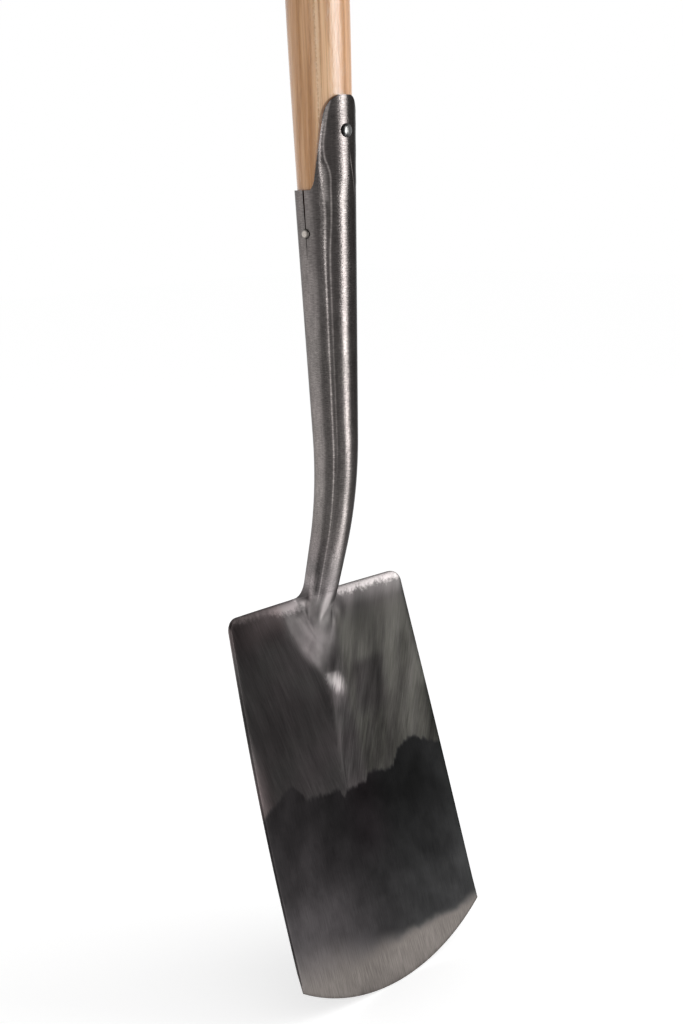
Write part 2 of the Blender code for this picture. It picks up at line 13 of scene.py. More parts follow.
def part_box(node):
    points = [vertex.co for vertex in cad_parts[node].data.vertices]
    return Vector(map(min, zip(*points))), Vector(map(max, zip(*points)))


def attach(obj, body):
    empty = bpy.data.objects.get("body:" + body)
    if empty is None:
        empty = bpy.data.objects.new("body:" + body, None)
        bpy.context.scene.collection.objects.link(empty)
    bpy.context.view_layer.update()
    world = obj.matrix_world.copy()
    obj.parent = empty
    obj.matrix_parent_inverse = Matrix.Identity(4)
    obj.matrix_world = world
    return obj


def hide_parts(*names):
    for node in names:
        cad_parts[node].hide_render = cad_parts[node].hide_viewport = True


# Camera: the photograph's viewing angle, round a point on the shaft's axis near the neck
CAMERA_AZIMUTH = radians(-45.0)
CAMERA_ELEVATION = radians(8.063)
CAMERA_ROLL = radians(-2.313)
CAMERA_DISTANCE = 1.0709
CAMERA_TARGET_SIDE = 0.00548
CAMERA_TARGET_BELOW_RIM = 0.14003
CAMERA_LENS = 54.17
CAMERA_SENSOR = (24, 36)
CAMERA_SHIFT_Y = -0.1172

# Blade, as in the solids
BLADE_TOP_WIDTH = 0.1712
BLADE_EDGE_WIDTH = 0.1824
BLADE_SIDE_LENGTH = 0.2543
BLADE_SIDE_BOW = 0.0022
EDGE_SAGITTA = 0.027
BLADE_CANT = radians(14.6)
BLADE_DISH_TOP = 0.007
BLADE_DISH_EDGE = 0.0035
BLADE_HOLLOW = 0.0017
TREAD_THICKNESS = 0.0034
BLADE_THICKNESS = 0.0024
EDGE_THICKNESS = 0.0009
EDGE_BEVEL = 0.014
CORNER_RADIUS = 0.0095

# Boss and neck root, as in the solids
BOSS_LENGTH = 0.059
BOSS_HALF_WIDTH = 0.0365
BOSS_HEIGHT = 0.0034
BOSS_EDGE = 0.012
BOSS_TIP_RADIUS = 0.004
BOSS_TOP_SLOPE = 0.42
NECK_SET_OUT = 0.0085
NECK_FLANK = 0.0024
NECK_FLANK_DRAFT = 3.0
NECK_BLEND = 0.007
NECK_DIP = 0.005
NECK_DIP_LENGTH = 0.02
DIMPLE_DEPTH = 0.0009
DIMPLE_RADIUS = 0.0085

# Neck and socket, as in the solids
SOCKET_STRAIGHT = 0.17
CRANK_RADIUS = 0.282
CRANK_ANGLE = radians(16.5)
NECK_STRAIGHT = 0.0387
SOCKET_RIM_RADIUS = 0.0211
NECK_RADIUS = 0.0122
SOCKET_WALL = 0.0017
NECK_FILLET = 0.0055
TONGUE_LENGTH = 0.0626
TONGUE_ROOT_HALF_WIDTH = 0.025
TONGUE_TAPER = 0.155
TONGUE_FLARE = 0.0024
TONGUE_FLARE_LENGTH = 0.006
TONGUE_NOSE_START = 0.046
TONGUE_NOSE_POWER = 2.5
SLIT_WIDTH = 0.0015
SLIT_LENGTH = 0.048

# Fine shape of the steel that the solids leave plain
TREAD_ROLL_LENGTH = 0.0048
TREAD_ROLL_DEPTH = 0.0011
EDGE_ROUND = 0.38
SHEET_ROUND = 0.00055
BORE_DEPTH = 0.18
CREASE_AZIMUTHS = (radians(41), radians(52.5))
CREASE_HEIGHT = 0.00016
CREASE_WIDTH = radians(2.4)
CREASE_FADE = 0.03
NECK_FRONT_LIFT = 0.003
FOOT_WRAP = radians(125)
SLIT_TAPER = 0.6
BEVEL_ANGLE = radians(62)

# Fineness of the head's mesh; steps are degrees or shares of the way, closer where the shape turns fast
CREST_COLUMNS = 10
FLANK_COLUMNS = 5
BOSS_COLUMNS = 16
SHOULDER_COLUMNS = 26
BLADE_ROWS = (5, 34, 16, 30, 6)
ROUND_STEPS = (30, 60, 90)
ROLL_STEPS = (90, 75, 60, 45, 30, 15, 0)
FILLET_STEPS = (15, 30, 45, 60, 75)
NECK_RINGS = 90
BORE_RINGS = 10
SLIT_STEPS = (0.04, 0.12, 0.25, 0.4, 0.55, 0.7, 0.85, 0.985, 1)
TONGUE_COLUMNS = 8
TONGUE_ROWS = 14
FLARE_STEPS = (0.1, 0.22, 0.38, 0.6, 1)
NOSE_STEPS = (8, 16, 24, 32, 40, 48, 56, 63, 70, 76)
SMOOTH_ANGLE = radians(48)

# Shaft and grip, as in the solids
GAP = 0.0003
SHAFT_SEAT = 0.164
SHAFT_SWELL_RADIUS = 0.022
SHAFT_SWELL_HEIGHT = 0.17
SHAFT_TOP_RADIUS = 0.0172
SHAFT_LENGTH_ABOVE_RIM = 0.54
SHAFT_TIP_CHAMFER = 0.002
TENON_RADIUS = 0.011
GRIP_LENGTH = 0.125
GRIP_RADIUS = 0.018
GRIP_END_RADIUS = 0.0155
GRIP_END_ROUND = 0.006
WEDGE_THICKNESS = 0.0032
WEDGE_TIP = 0.0012
WEDGE_DEPTH = 0.013
WEDGE_HALF_LENGTH = 0.9 * TENON_RADIUS
PIN_RADIUS = 0.0022

# Rivet, washer and nail, as in the solids
RIVET_HEIGHT = 0.0388
RIVET_HEAD_RADIUS = 0.0046
RIVET_HEAD_HEIGHT = 0.0018
RIVET_SHANK_RADIUS = 0.0021
RIVET_TAIL_RADIUS = 0.0034
RIVET_TAIL_HEIGHT = 0.0016
WASHER_RADIUS = 0.006
WASHER_THICKNESS = 0.0012
NAIL_DEPTH_BELOW_RIM = 0.0293
NAIL_HEAD_RADIUS = 0.0033
NAIL_HEAD_HEIGHT = 0.0016
NAIL_SHANK_RADIUS = 0.0014
NAIL_LENGTH = 0.022

# Fineness of the turned pieces
TURNED_SIDES = 96
SMALL_SIDES = 40
SHAFT_RINGS = 60
GRIP_RINGS = 16
GRIP_END_STEPS = (12, 24, 36, 48, 60, 72, 84)
DOME_STEPS = (0, 10, 20, 30, 40, 50, 60, 70, 78, 85)

# Light
WORLD_FILL = 0.62
FLOOR_GLOW = 0.5
FLOOR_HALF = 6
LOW_LIGHT_HEIGHT = 0.004

# Where the steel's finishes meet, in millimetres over the blade: across, then down from its top edge
SCALE_LINE = [(-92, 136), (-82, 131), (-75, 129), (-68, 125), (-62, 123.5), (-55, 126), (-50, 131),
              (-46, 136.5), (-38, 136.5), (-28, 137.5), (-15, 138.5), (-11, 144), (-7, 141), (2, 140.5),
              (10, 140.5), (15, 137), (20, 135), (29, 137), (37, 138.5), (43, 134), (49, 127.5),
              (55, 124), (61, 122.5), (68, 124), (76, 128), (84, 132), (92, 136)]
BAND_LINE = [(-92, 238), (-82, 240), (-65, 242), (-48, 244), (-31, 248.5), (-11, 251), (9, 252.5),
             (40, 253), (72, 254), (92, 252)]

# Grey levels, 0 to 255 as seen on a screen: across the blade in millimetres, and by degrees round the tube;
# the tread's are a painted highlight, the others partly painted reflection
UPPER_RIGHT_TONES = [(0, 44), (15, 46), (30, 46), (50, 38), (62, 44), (78, 47), (92, 44)]
TREAD_HIGHLIGHT_TONES = [(-92, 125), (-84, 92), (-50, 88), (-32, 113), (-18, 128), (20, 135), (50, 150), (92, 160)]
TUBE_TONES = [(0, 52), (14, 52), (30, 62), (38, 62), (47, 74), (57, 70), (68, 74), (78, 100), (86, 110),
              (180, 106)]

# How much paler painted light makes the concave fillet round the neck's foot, by degrees from the neck's
# front
ROOT_PAINTED_LIGHT = [(-120, 0), (-104, 0.3), (-92, 1.1), (-82, 1.55), (-72, 1.4), (-65, 1.05), (-58, 0.85),
             (-50, 0.65), (-44, 0.5), (-37, 0.25), (-28, 0), (-20, 0)]

# The worn lines down the tube: degrees from its front, at millimetres below the rim
OUTER_LINE = [(-64, 30), (-58, 34.5), (-50, 39.5), (-38, 47), (-26, 51.8), (-18, 52.5), (-8, 51),
              (0, 49.2), (7, 48.2), (17, 47.3), (28, 48.4), (42, 50), (60, 50.5)]
INNER_LINE = [(-64, 27), (-58, 31), (-50, 36.5), (-38, 42), (-30, 45), (-22, 44), (-15, 38), (-9, 34.5),
              (0, 34.5), (8, 34.5), (20, 35.5), (42, 40), (60, 41)]

# Grey levels of the outer worn line, at millimetres below the rim
OUTER_TONES = [(-64, 128), (-30, 132), (-8, 130), (6, 146), (20, 150), (60, 146), (130, 139)]

# Wood colours: the pale ground, its honey early wood, the brown of pores, grime and painted shade, and rosy
# streaks
ASH = [(0.87, 0.51, 0.24), (0.50, 0.205, 0.035), (0.30, 0.11, 0.03), (0.80, 0.42, 0.22)]
WEDGE_WOOD = [(0.3, 0.16, 0.075), (0.2, 0.1, 0.045), (0.1, 0.05, 0.02), (0.25, 0.13, 0.06)]

# How dark the wood is across one year's ring, from its porous early wood to the next
EARLY_WOOD = [(0, 0.9), (0.08, 1), (0.17, 0.6), (0.24, 0.85), (0.32, 0.3), (0.45, 0.12), (0.58, 0.4),
              (0.68, 0.1), (0.84, 0.1), (0.93, 0.6), (1, 0.9)]

# Sizes and directions that follow from these
NECK_LENGTH = SOCKET_STRAIGHT + CRANK_RADIUS * CRANK_ANGLE + NECK_STRAIGHT
NECK_TAPER = (SOCKET_RIM_RADIUS - NECK_RADIUS) / NECK_LENGTH
BLADE_DOWN = Vector((0, -sin(BLADE_CANT), -cos(BLADE_CANT)))
BLADE_FRONT = Vector((0, -cos(BLADE_CANT), sin(BLADE_CANT)))
ACROSS = Vector((1, 0, 0))
NECK_LEAN = BLADE_CANT + CRANK_ANGLE
CREST_RISE = NECK_RADIUS / cos(NECK_LEAN)
CREST_HEIGHT = NECK_SET_OUT + CREST_RISE
NECK_FOOT_HALF_WIDTH = NECK_RADIUS + NECK_FLANK
CROSS_REACH = SHAFT_SWELL_RADIUS + SOCKET_RIM_RADIUS
DEGREES = 180 / pi


def lerp(a, b, t):
    return a + (b - a) * t


def steps(a, b, count):
    """The numbers from a to b in even steps, without a itself."""
    return [lerp(a, b, i / count) for i in range(1, count + 1)]


def closing_steps(end, reach):
    """The last numbers up to an end, over a reach in which an edge is rounded."""
    return [end - reach * (1 - sin(radians(a))) for a in ROUND_STEPS]


def ease(t):
    t = min(max(t, 0), 1)
    return t * t * (3 - 2 * t)


def blend_max(a, b, width):
    """The larger of two heights, with a fillet where they are less than a width apart."""
    return max(a, b) + max(width - abs(a - b), 0) ** 2 / (4 * width)


def neck_frame(distance):
    """Centre and forward direction of the neck at a distance below the socket's rim."""
    arc = CRANK_RADIUS * CRANK_ANGLE
    angle = min(max(distance - SOCKET_STRAIGHT, 0), arc) / CRANK_RADIUS
    beyond = max(distance - SOCKET_STRAIGHT - arc, 0)
    y = CRANK_RADIUS * (1 - cos(angle)) + beyond * sin(angle)
    z = -min(distance, SOCKET_STRAIGHT) - CRANK_RADIUS * sin(angle) - beyond * cos(angle)
    return Vector((0, y, z)), Vector((0, -cos(angle), -sin(angle)))


def socket_radius(distance):
    return SOCKET_RIM_RADIUS - NECK_TAPER * distance


def neck_point(distance, azimuth, radius):
    """A point round the neck, at an azimuth from its front."""
    centre, forward = neck_frame(distance)
    return centre + (ACROSS * sin(azimuth) + forward * cos(azimuth)) * radius


def blade_point(x, s, h):
    """A point x across the blade, s down from its top edge and h in front of its front face's middle."""
    top = neck_frame(NECK_LENGTH)[0] - BLADE_FRONT * NECK_SET_OUT
    return top + ACROSS * x + BLADE_DOWN * s + BLADE_FRONT * h


def blade_half_width(s):
    t = min(s / BLADE_SIDE_LENGTH, 1)
    half = lerp(BLADE_TOP_WIDTH, BLADE_EDGE_WIDTH, t) / 2 + BLADE_SIDE_BOW * sin(pi * t)
    if s < CORNER_RADIUS:
        half -= CORNER_RADIUS - sqrt(CORNER_RADIUS**2 - (CORNER_RADIUS - s) ** 2)
    return half


def edge_drop(x):
    """How far the cutting edge's arc lies below its corners at x."""
    half = BLADE_EDGE_WIDTH / 2
    radius = (half**2 + EDGE_SAGITTA**2) / (2 * EDGE_SAGITTA)
    return sqrt(radius**2 - min(abs(x), half) ** 2) - (radius - EDGE_SAGITTA)


def crest_height(s):
    return CREST_HEIGHT - s * tan(NECK_LEAN) - NECK_DIP * ease(s / NECK_DIP_LENGTH)


def crest_half_width(s):
    depth = min(max(crest_height(s) * cos(NECK_LEAN) / NECK_RADIUS, 0), 1)
    return NECK_RADIUS * sqrt(1 - (1 - depth) ** 2)


def neck_rise(x, s):
    inside = min(abs(x), NECK_RADIUS)
    drop = (NECK_RADIUS - sqrt(NECK_RADIUS**2 - inside**2)) / cos(NECK_LEAN)
    return crest_height(s) - drop - (abs(x) - inside) * NECK_FLANK_DRAFT


def boss_half_width(s):
    return BOSS_HALF_WIDTH * (1 - s / BOSS_LENGTH)


def boss_rise(x, s):
    """Height of the V-shaped boss over the blade: a low pad with soft edges."""
    side_angle = atan(BOSS_HALF_WIDTH / BOSS_LENGTH)
    across = hypot(x, BOSS_TIP_RADIUS) - BOSS_TIP_RADIUS
    side = (boss_half_width(s) - across) * cos(side_angle)
    top_angle = atan(BOSS_TOP_SLOPE)
    top = (s - (abs(x) - NECK_RADIUS) * BOSS_TOP_SLOPE) * cos(top_angle)
    return BOSS_HEIGHT * ease(side / BOSS_EDGE) * ease(top / BOSS_EDGE)


def front_rise(x, s):
    if s >= BOSS_LENGTH:
        return 0
    width = NECK_BLEND * min(1, (BOSS_LENGTH - s) / NECK_BLEND)
    return blend_max(neck_rise(x, s), boss_rise(x, s), width)


def blade_front(x, s):
    t = min(s / BLADE_SIDE_LENGTH, 1)
    dish = lerp(BLADE_DISH_TOP, BLADE_DISH_EDGE, t)
    middle = BLADE_DISH_TOP - dish - BLADE_HOLLOW * 4 * t * (1 - t)
    reach = hypot(x, s - BOSS_LENGTH - DIMPLE_RADIUS) / DIMPLE_RADIUS
    dimple = DIMPLE_DEPTH * exp(-reach * reach)
    side = (x / blade_half_width(max(s, CORNER_RADIUS))) ** 2
    return middle + dish * side - dimple + front_rise(x, s)


def blade_thickness(s, to_edge):
    plate = lerp(TREAD_THICKNESS, BLADE_THICKNESS, ease(s / BLADE_SIDE_LENGTH))
    return lerp(EDGE_THICKNESS, plate, min(to_edge / EDGE_BEVEL, 1))


def rolled(distance, length, depth):
    """How far a surface has dropped at a distance inside its rounded border."""
    if distance >= length:
        return 0
    t = 1 - max(distance, 0) / length
    return depth * (1 - sqrt(1 - t * t))


def side_distance(x, s):
    """Distance from the blade's side or rounded corner."""
    if s < CORNER_RADIUS:
        corner = blade_half_width(CORNER_RADIUS) - CORNER_RADIUS
        if abs(x) > corner:
            return CORNER_RADIUS - hypot(abs(x) - corner, CORNER_RADIUS - s)
    return blade_half_width(s) - abs(x)


def blade_columns(s):
    crest = max(crest_half_width(s), NECK_RADIUS / 2)
    flank = crest + NECK_FLANK
    boss = max(boss_half_width(s), flank + NECK_FLANK)
    half = blade_half_width(s)
    border = TREAD_THICKNESS * EDGE_ROUND
    right = [crest * sin(pi / 2 * i / CREST_COLUMNS) for i in range(1, CREST_COLUMNS + 1)]
    right += steps(crest, flank, FLANK_COLUMNS) + steps(flank, boss, BOSS_COLUMNS)
    right += steps(boss, half - border, SHOULDER_COLUMNS) + closing_steps(half, border)
    return [-x for x in reversed(right)] + [0] + right


def blade_rows():
    border = EDGE_THICKNESS * EDGE_ROUND
    rows = [TREAD_ROLL_LENGTH * (1 - sin(radians(a))) for a in ROLL_STEPS]
    stops = [TREAD_ROLL_LENGTH, CORNER_RADIUS, BOSS_LENGTH, BOSS_LENGTH + 3 * DIMPLE_RADIUS,
             BLADE_SIDE_LENGTH - EDGE_BEVEL, BLADE_SIDE_LENGTH - border]
    for start, end, count in zip(stops, stops[1:], BLADE_ROWS):
        rows += steps(start, end, count)
    return rows + closing_steps(BLADE_SIDE_LENGTH, border)


def tongue_half_width(height):
    flare = TONGUE_FLARE * max(1 - height / TONGUE_FLARE_LENGTH, 0) ** 2
    t = max(height - TONGUE_NOSE_START, 0) / (TONGUE_LENGTH - TONGUE_NOSE_START)
    nose = max(1 - t**TONGUE_NOSE_POWER, 0) ** (1 / TONGUE_NOSE_POWER)
    return (TONGUE_ROOT_HALF_WIDTH - TONGUE_TAPER * height) * nose + flare


class Head:
    """The steel head's mesh; each vertex keeps where it lies on the unbent steel, its flow."""

    def __init__(self, rim):
        self.bm = bmesh.new()
        self.rim = Vector((0, 0, rim))
        self.flow = self.bm.verts.layers.float_vector.new("flow")

    def add(self, point, flow):
        vert = self.bm.verts.new(point + self.rim)
        vert[self.flow] = flow
        return vert

    def bridge(self, lower, upper, closed=False):
        count = len(lower)
        for i in range(count if closed else count - 1):
            k = (i + 1) % count
            corners = [lower[i], lower[k], upper[k], upper[i]]
            distinct = list(dict.fromkeys(corners))
            if len(distinct) > 2:
                self.bm.faces.new(distinct)

    def skins(self, *sheets):
        """Fills each sheet between its rows of vertices."""
        for rows in sheets:
            for low, high in zip(rows, rows[1:]):
                self.bridge(low, high)

    def sides(self, outer, inner):
        """Closes both sides between an outer and an inner sheet."""
        for end in (0, -1):
            self.bridge([row[end] for row in outer], [row[end] for row in inner])

    def blade(self):
        """Adds the blade's two faces and its borders, and returns the loop that the neck stands on."""
        front, back = [], []
        for nominal in blade_rows():
            front_row, back_row = [], []
            for x in blade_columns(nominal):
                drop = edge_drop(x)
                s = nominal * (1 + drop / BLADE_SIDE_LENGTH)
                to_edge = max(BLADE_SIDE_LENGTH + drop - s, 0)
                thickness = blade_thickness(nominal, to_edge)
                away = ease(2 * (abs(x) / NECK_FOOT_HALF_WIDTH - 1))
                border = thickness * EDGE_ROUND
                around = min(side_distance(x, nominal), to_edge)
                sides = rolled(around, border, border)
                rise = front_rise(x, nominal)
                face = blade_front(x, nominal)
                rear = face - rise - thickness
                face -= max(sides, away * rolled(nominal, TREAD_ROLL_LENGTH, TREAD_ROLL_DEPTH))
                rear += max(sides, away * rolled(nominal, border, border))
                v = NECK_LENGTH + s - sin(NECK_LEAN) * max(neck_rise(x, s) - NECK_SET_OUT, 0)
                facing = -sqrt(max(NECK_RADIUS**2 - x * x, 0))
                front_row.append(self.add(blade_point(x, s, face), (x, facing, v)))
                back_row.append(self.add(blade_point(x, s, rear), (x, NECK_RADIUS, NECK_LENGTH + s)))
            front.append(front_row)
            back.append(back_row)
        self.skins(front, back)
        self.sides(front, back)
        self.bridge(front[-1], back[-1])
        first = len(ROUND_STEPS) + SHOULDER_COLUMNS + BOSS_COLUMNS
        last = first + 2 * (FLANK_COLUMNS + CREST_COLUMNS) + 1
        self.bridge(front[0][: first + 1], back[0][: first + 1])
        self.bridge(front[0][last - 1 :], back[0][last - 1 :])
        return front[0][first:last] + back[0][first:last][::-1]

    def azimuths(self):
        """Directions round the neck, front first, in the order of the loop that it stands on."""
        quarter = pi / 2
        right = [quarter * i / CREST_COLUMNS for i in range(CREST_COLUMNS + 1)]
        right += steps(quarter, FOOT_WRAP, FLANK_COLUMNS)
        front = [-a for a in reversed(right[1:])] + right
        rest = 2 * (pi - FOOT_WRAP)
        return front + [FOOT_WRAP + rest * (i + 1) / (len(front) + 1) for i in range(len(front))]

    def crease(self, azimuth, distance):
        """Two faint ridges down each side, left by the dies, that fade out into the crank's foot."""
        a = abs(remainder(azimuth, 2 * pi))
        lift = sum(exp(-(((a - c) / CREASE_WIDTH) ** 2)) for c in CREASE_AZIMUTHS)
        return CREASE_HEIGHT * lift * ease((NECK_LENGTH - distance) / CREASE_FADE)

    def wall(self, distance, azimuth, inner=False):
        """A vertex on the tube's outer or inner side."""
        radius = socket_radius(distance)
        radius += -SOCKET_WALL if inner else self.crease(azimuth, distance)
        flow = (radius * sin(azimuth), -radius * cos(azimuth), distance)
        return self.add(neck_point(distance, azimuth, radius), flow)

    def neck(self, foot):
        """Carries the foot loop up the neck to where the slit starts, and returns the last ring."""
        ring_at = self.azimuths()
        meets = [NECK_LENGTH - NECK_FILLET - NECK_FRONT_LIFT * max(cos(a), 0) for a in ring_at]
        goals = [neck_point(meet, a, socket_radius(meet)) for meet, a in zip(meets, ring_at)]
        down = Vector((0, sin(CRANK_ANGLE), -cos(CRANK_ANGLE)))
        rings = [foot]
        starts = [vert.co - self.rim for vert in foot]
        begins = [NECK_LENGTH - sin(NECK_LEAN) * CREST_RISE * max(cos(a), 0) for a in ring_at]
        for degrees in FILLET_STEPS:
            turn = radians(degrees)
            ring = []
            for start, goal, a, begin, meet in zip(starts, goals, ring_at, begins, meets):
                step = goal - start
                along = down * (step.dot(BLADE_DOWN) / down.dot(BLADE_DOWN))
                spot = start + (step - along) * sin(turn) + along * (1 - cos(turn))
                v = lerp(begin, meet, 1 - cos(turn))
                flow = (NECK_RADIUS * sin(a), -NECK_RADIUS * cos(a), v)
                ring.append(self.add(spot, flow))
            rings.append(ring)
        for t in (i / NECK_RINGS for i in range(NECK_RINGS + 1)):
            rings.append([self.wall(lerp(meet, SLIT_LENGTH, t), a) for meet, a in zip(meets, ring_at)])
        for low, high in zip(rings, rings[1:]):
            self.bridge(low, high, closed=True)
        return rings[-1]

    def rim_and_tongue(self, ring):
        """Adds the slit stretch, the rim, the tongue and the bore above the last ring of the neck."""
        order = self.azimuths()
        slit = FLANK_COLUMNS
        back = -pi / 2 - 1e-6
        turns = [a if a >= back else a + 2 * pi for a in order[slit:] + order[:slit]]
        full = ring[slit:] + ring[:slit]
        outer = [full + [full[0]]]
        inner = []
        depths = [lerp(BORE_DEPTH, SLIT_LENGTH, i / BORE_RINGS) for i in range(BORE_RINGS)]
        for distance in depths + [SLIT_LENGTH]:
            row = [self.wall(distance, a, inner=True) for a in turns]
            inner.append(row + [row[0]])
        for distance in [SLIT_LENGTH * (1 - t) for t in SLIT_STEPS]:
            half = 0.5 * SLIT_WIDTH * (1 - distance / SLIT_LENGTH) ** SLIT_TAPER / SOCKET_RIM_RADIUS
            around = turns + [turns[0] + 2 * pi]
            around[0] += half
            around[-1] -= half
            outer.append([self.wall(distance, a) for a in around])
            inner.append([self.wall(distance, a, inner=True) for a in around])
        self.skins(outer, inner)
        self.bm.faces.new(inner[0][:-1])
        self.sides(outer, inner[BORE_RINGS:])
        middle = turns.index(0)
        first, last = middle - TONGUE_COLUMNS, middle + TONGUE_COLUMNS
        rim_outer, rim_inner = outer[-1], inner[-1]
        self.bridge(rim_outer[: first + 1], rim_inner[: first + 1])
        self.bridge(rim_outer[last:], rim_inner[last:])
        self.tongue(rim_outer[first : last + 1], rim_inner[first : last + 1])

    def tongue(self, rim_outer, rim_inner):
        """Adds the tongue above its stretch of the rim: its flared root, its sides and its round nose."""
        heights = [TONGUE_FLARE_LENGTH * t for t in FLARE_STEPS]
        heights += steps(TONGUE_FLARE_LENGTH, TONGUE_NOSE_START, TONGUE_ROWS)
        nose = TONGUE_LENGTH - TONGUE_NOSE_START
        power = 2 / TONGUE_NOSE_POWER
        heights += [TONGUE_NOSE_START + nose * sin(radians(a)) ** power for a in NOSE_STEPS]
        outer, inner = [rim_outer], [rim_inner]
        for height in heights:
            reach = tongue_half_width(height) / socket_radius(-height)
            spread = [reach * i / TONGUE_COLUMNS for i in range(-TONGUE_COLUMNS, TONGUE_COLUMNS + 1)]
            outer.append([self.wall(-height, a) for a in spread])
            inner.append([self.wall(-height, a, inner=True) for a in spread])
        self.skins(outer, inner)
        self.sides(outer, inner)
        self.bridge(outer[-1], inner[-1])

    def finish(self):
        mesh = mesh_of("steel_head", self.bm)
        smooth(mesh)
        return mesh


def turned(profile, sides, axis="Z"):
    """A closed mesh turned about an axis from (radius, height) points; a zero radius closes an end."""
    bm = bmesh.new()
    rings = []
    for radius, height in profile:
        ring = []
        for i in range(1 if radius == 0 else sides):
            a = 2 * pi * i / sides
            u, v = radius * cos(a), radius * sin(a)
            ring.append(bm.verts.new({"Z": (u, v, height), "X": (height, u, v), "Y": (v, height, u)}[axis]))
        rings.append(ring)
    for low, high in zip(rings, rings[1:]):
        for i in range(sides):
            k = (i + 1) % sides
            corners = [low[i % len(low)], low[k % len(low)], high[k % len(high)], high[i % len(high)]]
            bm.faces.new(list(dict.fromkeys(corners)))
    return bm


def mesh_of(name, bm):
    bmesh.ops.recalc_face_normals(bm, faces=bm.faces)
    mesh = bpy.data.meshes.new(name)
    bm.to_mesh(mesh)
    bm.free()
    return mesh


def smooth(mesh):
    """Shades a mesh smooth, with its sharp edges kept."""
    mesh.shade_smooth()
    mesh.set_sharp_from_angle(angle=SMOOTH_ANGLE)


def in_scene(name, data):
    made = bpy.data.objects.new(name, data)
    bpy.context.scene.collection.objects.link(made)
    return made


def add_piece(name, bm, surface, nodes, height):
    """Puts a mesh at a height on the shaft's axis and lets it stand for its solids."""
    mesh = mesh_of(name, bm)
    smooth(mesh)
    mesh.transform(Matrix.Translation((0, 0, height)))
    return place(name, mesh, surface, nodes)


def place(name, mesh, surface, nodes):
    mesh.materials.append(surface)
    made = in_scene(name, mesh)
    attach(made, "root")
    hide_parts(*nodes)
    return made


def cut(target, bm, height, operation="DIFFERENCE"):
    """Applies a Boolean with a throw-away tool, so that nothing is left on the piece."""
    mesh = mesh_of("tool", bm)
    mesh.transform(Matrix.Translation((0, 0, height)))
    tool = in_scene("tool", mesh)
    step = target.modifiers.new("cut", "BOOLEAN")
    step.object = tool
    step.operation = operation
    step.solver = "EXACT"
    apply_modifiers(target)
    bpy.data.objects.remove(tool)


def apply_modifiers(target):
    depsgraph = bpy.context.evaluated_depsgraph_get()
    mesh = bpy.data.meshes.new_from_object(target.evaluated_get(depsgraph))
    target.modifiers.clear()
    target.data = mesh
    smooth(mesh)


def rod(radius, low, high, sides, axis):
    return turned([(0, low), (radius, low), (radius, high), (0, high)], sides, axis)


def bore(target, radius, low, high, axis, height, sides=SMALL_SIDES):
    """Drills a hole for a pin of this radius, with the usual gap round it."""
    cut(target, rod(radius + GAP, low, high, sides, axis), height)


def shaft_radius(height):
    rim = SOCKET_RIM_RADIUS - SOCKET_WALL - GAP
    if height <= SHAFT_SWELL_HEIGHT:
        return lerp(rim, SHAFT_SWELL_RADIUS, sin(pi / 2 * height / SHAFT_SWELL_HEIGHT))
    t = (height - SHAFT_SWELL_HEIGHT) / (SHAFT_LENGTH_ABOVE_RIM - SHAFT_SWELL_HEIGHT)
    return lerp(SHAFT_SWELL_RADIUS, SHAFT_TOP_RADIUS, ease(t))


def grip_radius(x):
    t = min(abs(x) / (GRIP_LENGTH / 2), 1)
    return lerp(GRIP_RADIUS, GRIP_END_RADIUS, t * t)


def grip_profile(growth):
    half = GRIP_LENGTH / 2
    plain = half - GRIP_END_ROUND
    right = [(grip_radius(x) + growth, x) for x in (plain * i / GRIP_RINGS for i in range(GRIP_RINGS + 1))]
    for a in (radians(d) for d in GRIP_END_STEPS):
        inset = GRIP_END_ROUND * (1 - cos(a))
        right.append((grip_radius(plain) - inset + growth, plain + GRIP_END_ROUND * sin(a)))
    right.append((0, half + growth))
    return [(r, -x) for r, x in reversed(right)][:-1] + right


def wedge_shape(growth, over):
    """The wedge, or with a growth the kerf that it sits in, up to a height over the grip."""
    bm = bmesh.new()
    half_length = WEDGE_HALF_LENGTH if growth == 0 else 2 * TENON_RADIUS
    slope = (WEDGE_THICKNESS - WEDGE_TIP) / (2 * WEDGE_DEPTH)
    bottom, top = GRIP_RADIUS - WEDGE_DEPTH - growth, GRIP_RADIUS + over
    tip = WEDGE_TIP / 2 + growth
    head = tip + slope * (top - bottom)
    outline = [(-tip, bottom), (tip, bottom), (head, top), (-head, top)]
    ends = [[bm.verts.new((x, y, z)) for x, z in outline] for y in (-half_length, half_length)]
    for i in range(4):
        k = (i + 1) % 4
        bm.faces.new((ends[0][i], ends[0][k], ends[1][k], ends[1][i]))
    bm.faces.new(ends[0])
    bm.faces.new(ends[1])
    return bm


def dome(radius, height, base, way):
    """Profile points of a low dome from its tip down to its rim; way is the side it bulges towards."""
    angles = (radians(a) for a in DOME_STEPS)
    return [(radius * sin(a), base + way * height * cos(a)) for a in angles] + [(radius, base)]


def make_head(rim, surface):
    head = Head(rim)
    head.rim_and_tongue(head.neck(head.blade()))
    piece = place("steel_head", head.finish(), surface, ("blade", "socket"))
    bore(piece, RIVET_SHANK_RADIUS, -CROSS_REACH, 0, "Y", rim + RIVET_HEIGHT)
    bore(piece, NAIL_SHANK_RADIUS, -CROSS_REACH, 0, "X", rim - NAIL_DEPTH_BELOW_RIM)
    rounding = piece.modifiers.new("sheet_edges", "BEVEL")
    rounding.limit_method = "ANGLE"
    rounding.angle_limit = BEVEL_ANGLE
    rounding.width = SHEET_ROUND
    rounding.segments = 3
    apply_modifiers(piece)


